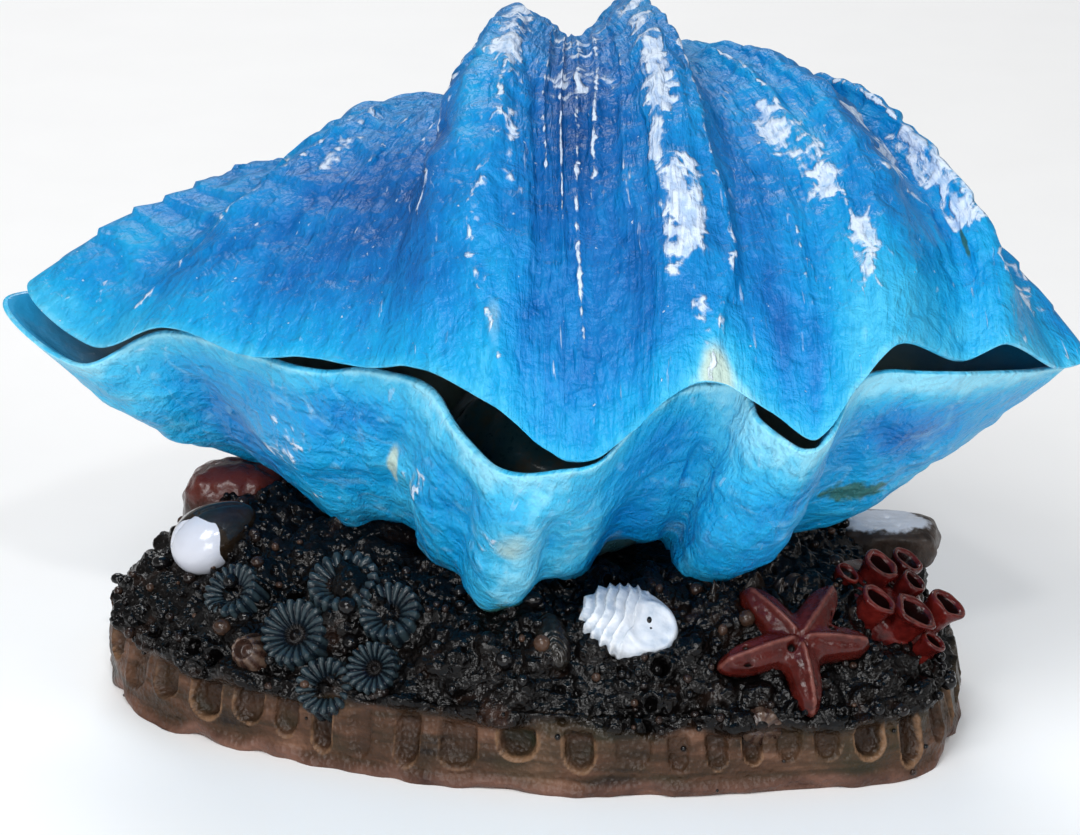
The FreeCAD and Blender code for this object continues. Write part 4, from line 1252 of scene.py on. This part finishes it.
def place_barnacles():
    barnacle_brown = resin_paint(
        "barnacle_paint", [(0.016, 0.008, 0.006), (0.045, 0.022, 0.016), (0.020, 0.012, 0.010)],
        0.28, 0.10, 0.3, ridge=((0.13, 0.085, 0.06), 0.6))
    for number, (node, size) in enumerate(BARNACLES.items()):
        decorate(node + "_look", node, "barnacle_paint", barnacle_brown,
                 barnacle(*size, number), 0, 0.4)


def place_clam():
    flesh = resin_paint(
        "clam_flesh_paint", [(0.012, 0.055, 0.070), (0.030, 0.095, 0.115), (0.090, 0.080, 0.055)],
        0.32, 0.12, 0.2, pits=("fold", BLACK))
    add_piece(new_mesh("clam_body_look", *mantle()), flesh, "base", "clam_flesh_paint", "clam_body")


place_rosettes()
place_red_corals()
place_shells()
place_stones()
place_leaves()
place_barnacles()
place_clam()


def moulded_plastic(name, dark_colour, light_colour, roughness):
    """Plain injection-moulded plastic: faint mottling and a fine satin grain."""
    p = Paint(name, roughness, specular=0.4)
    wide = p.noise(90.0, 3.0)
    fine = p.noise(2600.0, 3.0)
    p.bump(p.total((fine, 0.5), (wide, 0.2)), 0.05)
    return p.finish(p.ramp(wide, (0.35, dark_colour), (0.65, light_colour)),
                    p.total((fine, roughness), (wide, roughness)))


def turned_steel(name):
    """Stainless pin: grain round the rod and a few dull marks."""
    p = Paint(name, 0.3)
    p.bsdf.inputs["Metallic"].default_value = 1.0
    grain = p.noise(1.0, 4.0, p.stretched(p.place, (5200.0, 240.0, 240.0)))
    marks = p.noise(420.0, 4.0)
    p.bump(grain, 0.02)
    return p.finish(p.ramp(marks, (0.4, (0.42, 0.42, 0.43)), (0.6, (0.60, 0.60, 0.61))),
                    p.total((grain, 0.3), (marks, 0.3)))


def repaint(material, *nodes):
    """Gives CAD pieces that stay in sight their final material."""
    for node in nodes:
        slots = frame["nodes"][node].data.materials
        slots.clear()
        slots.append(material)


repaint(moulded_plastic("hinge_plastic", (0.010, 0.075, 0.20), (0.014, 0.095, 0.25), 0.42),
        "hinge_bracket", "lid_leaf", "pin_cap")
repaint(turned_steel("pin_steel"), "hinge_pin")
repaint(moulded_plastic("tube_plastic", (0.30, 0.31, 0.29), (0.38, 0.39, 0.36), 0.30),
        "air_riser", "air_inlet_barb")
repaint(moulded_plastic("nozzle_plastic", (0.015, 0.017, 0.018), (0.024, 0.026, 0.027), 0.40),
        "air_nozzle")
repaint(moulded_plastic("cup_plastic", (0.070, 0.068, 0.045), (0.150, 0.140, 0.095), 0.38),
        "air_cup")


def place_camera(azimuth, elevation, distance, target, lens):
    """A camera at a distance from the target, at angles in degrees."""
    az, el = math.radians(azimuth), math.radians(elevation)
    away = Vector((math.sin(az) * math.cos(el), -math.cos(az) * math.cos(el), math.sin(el)))
    data = bpy.data.cameras.new("camera")
    data.lens = lens
    data.sensor_width = 36.0
    camera = bpy.data.objects.new("camera", data)
    camera.location = Vector(target) + away * distance
    camera.rotation_euler = away.to_track_quat("Z", "Y").to_euler()
    bpy.context.collection.objects.link(camera)
    bpy.context.scene.camera = camera


def soft_light(name, location, target, size, power):
    """A square light, placed from the target and turned to it."""
    data = bpy.data.lights.new(name, "AREA")
    data.size = size
    data.energy = power
    light = bpy.data.objects.new(name, data)
    light.location = Vector(target) + Vector(location)
    away = light.location - Vector(target)
    light.rotation_euler = away.to_track_quat("Z", "Y").to_euler()
    bpy.context.collection.objects.link(light)


def floor_paint():
    """Near-white studio floor."""
    p = Paint("floor_paint", 0.7)
    fine = p.noise(60.0, 2.0)
    return p.finish(p.ramp(fine, (0.2, (0.94, 0.94, 0.94)), (0.8, (0.96, 0.96, 0.96))))


TARGET = Vector(PLACE) + Vector((0, 0, 0.0343))
place_camera(8, 20, 0.48, TARGET, 142.86)
FLOOR_HALF = 900
FLOOR_CORNERS = [(-FLOOR_HALF, -FLOOR_HALF, 0), (FLOOR_HALF, -FLOOR_HALF, 0),
                 (FLOOR_HALF, FLOOR_HALF, 0), (-FLOOR_HALF, FLOOR_HALF, 0)]
floor = new_mesh("floor", FLOOR_CORNERS, [(0, 1, 2, 3)])
floor.data.materials.append(floor_paint())
soft_light("key", (-0.18, -0.45, 0.50), TARGET, 0.30, 2.6)
soft_light("front", (0.0, -0.60, 0.06), TARGET, 0.30, 1.9)
soft_light("side", (0.55, -0.25, 0.30), TARGET, 0.25, 0.9)
soft_light("back", (-0.15, 0.45, 0.45), TARGET, 0.30, 1.6)
soft_light("sparkle", (0.10, -0.40, 0.42), TARGET, 0.04, 0.5)
world = bpy.data.worlds.new("world")
bpy.context.scene.world = world
world.use_nodes = True
world.node_tree.nodes["Background"].inputs["Color"].default_value = (0.96, 0.98, 1.0, 1)
world.node_tree.nodes["Background"].inputs["Strength"].default_value = 0.27
bpy.context.scene.view_settings.view_transform = "Standard"
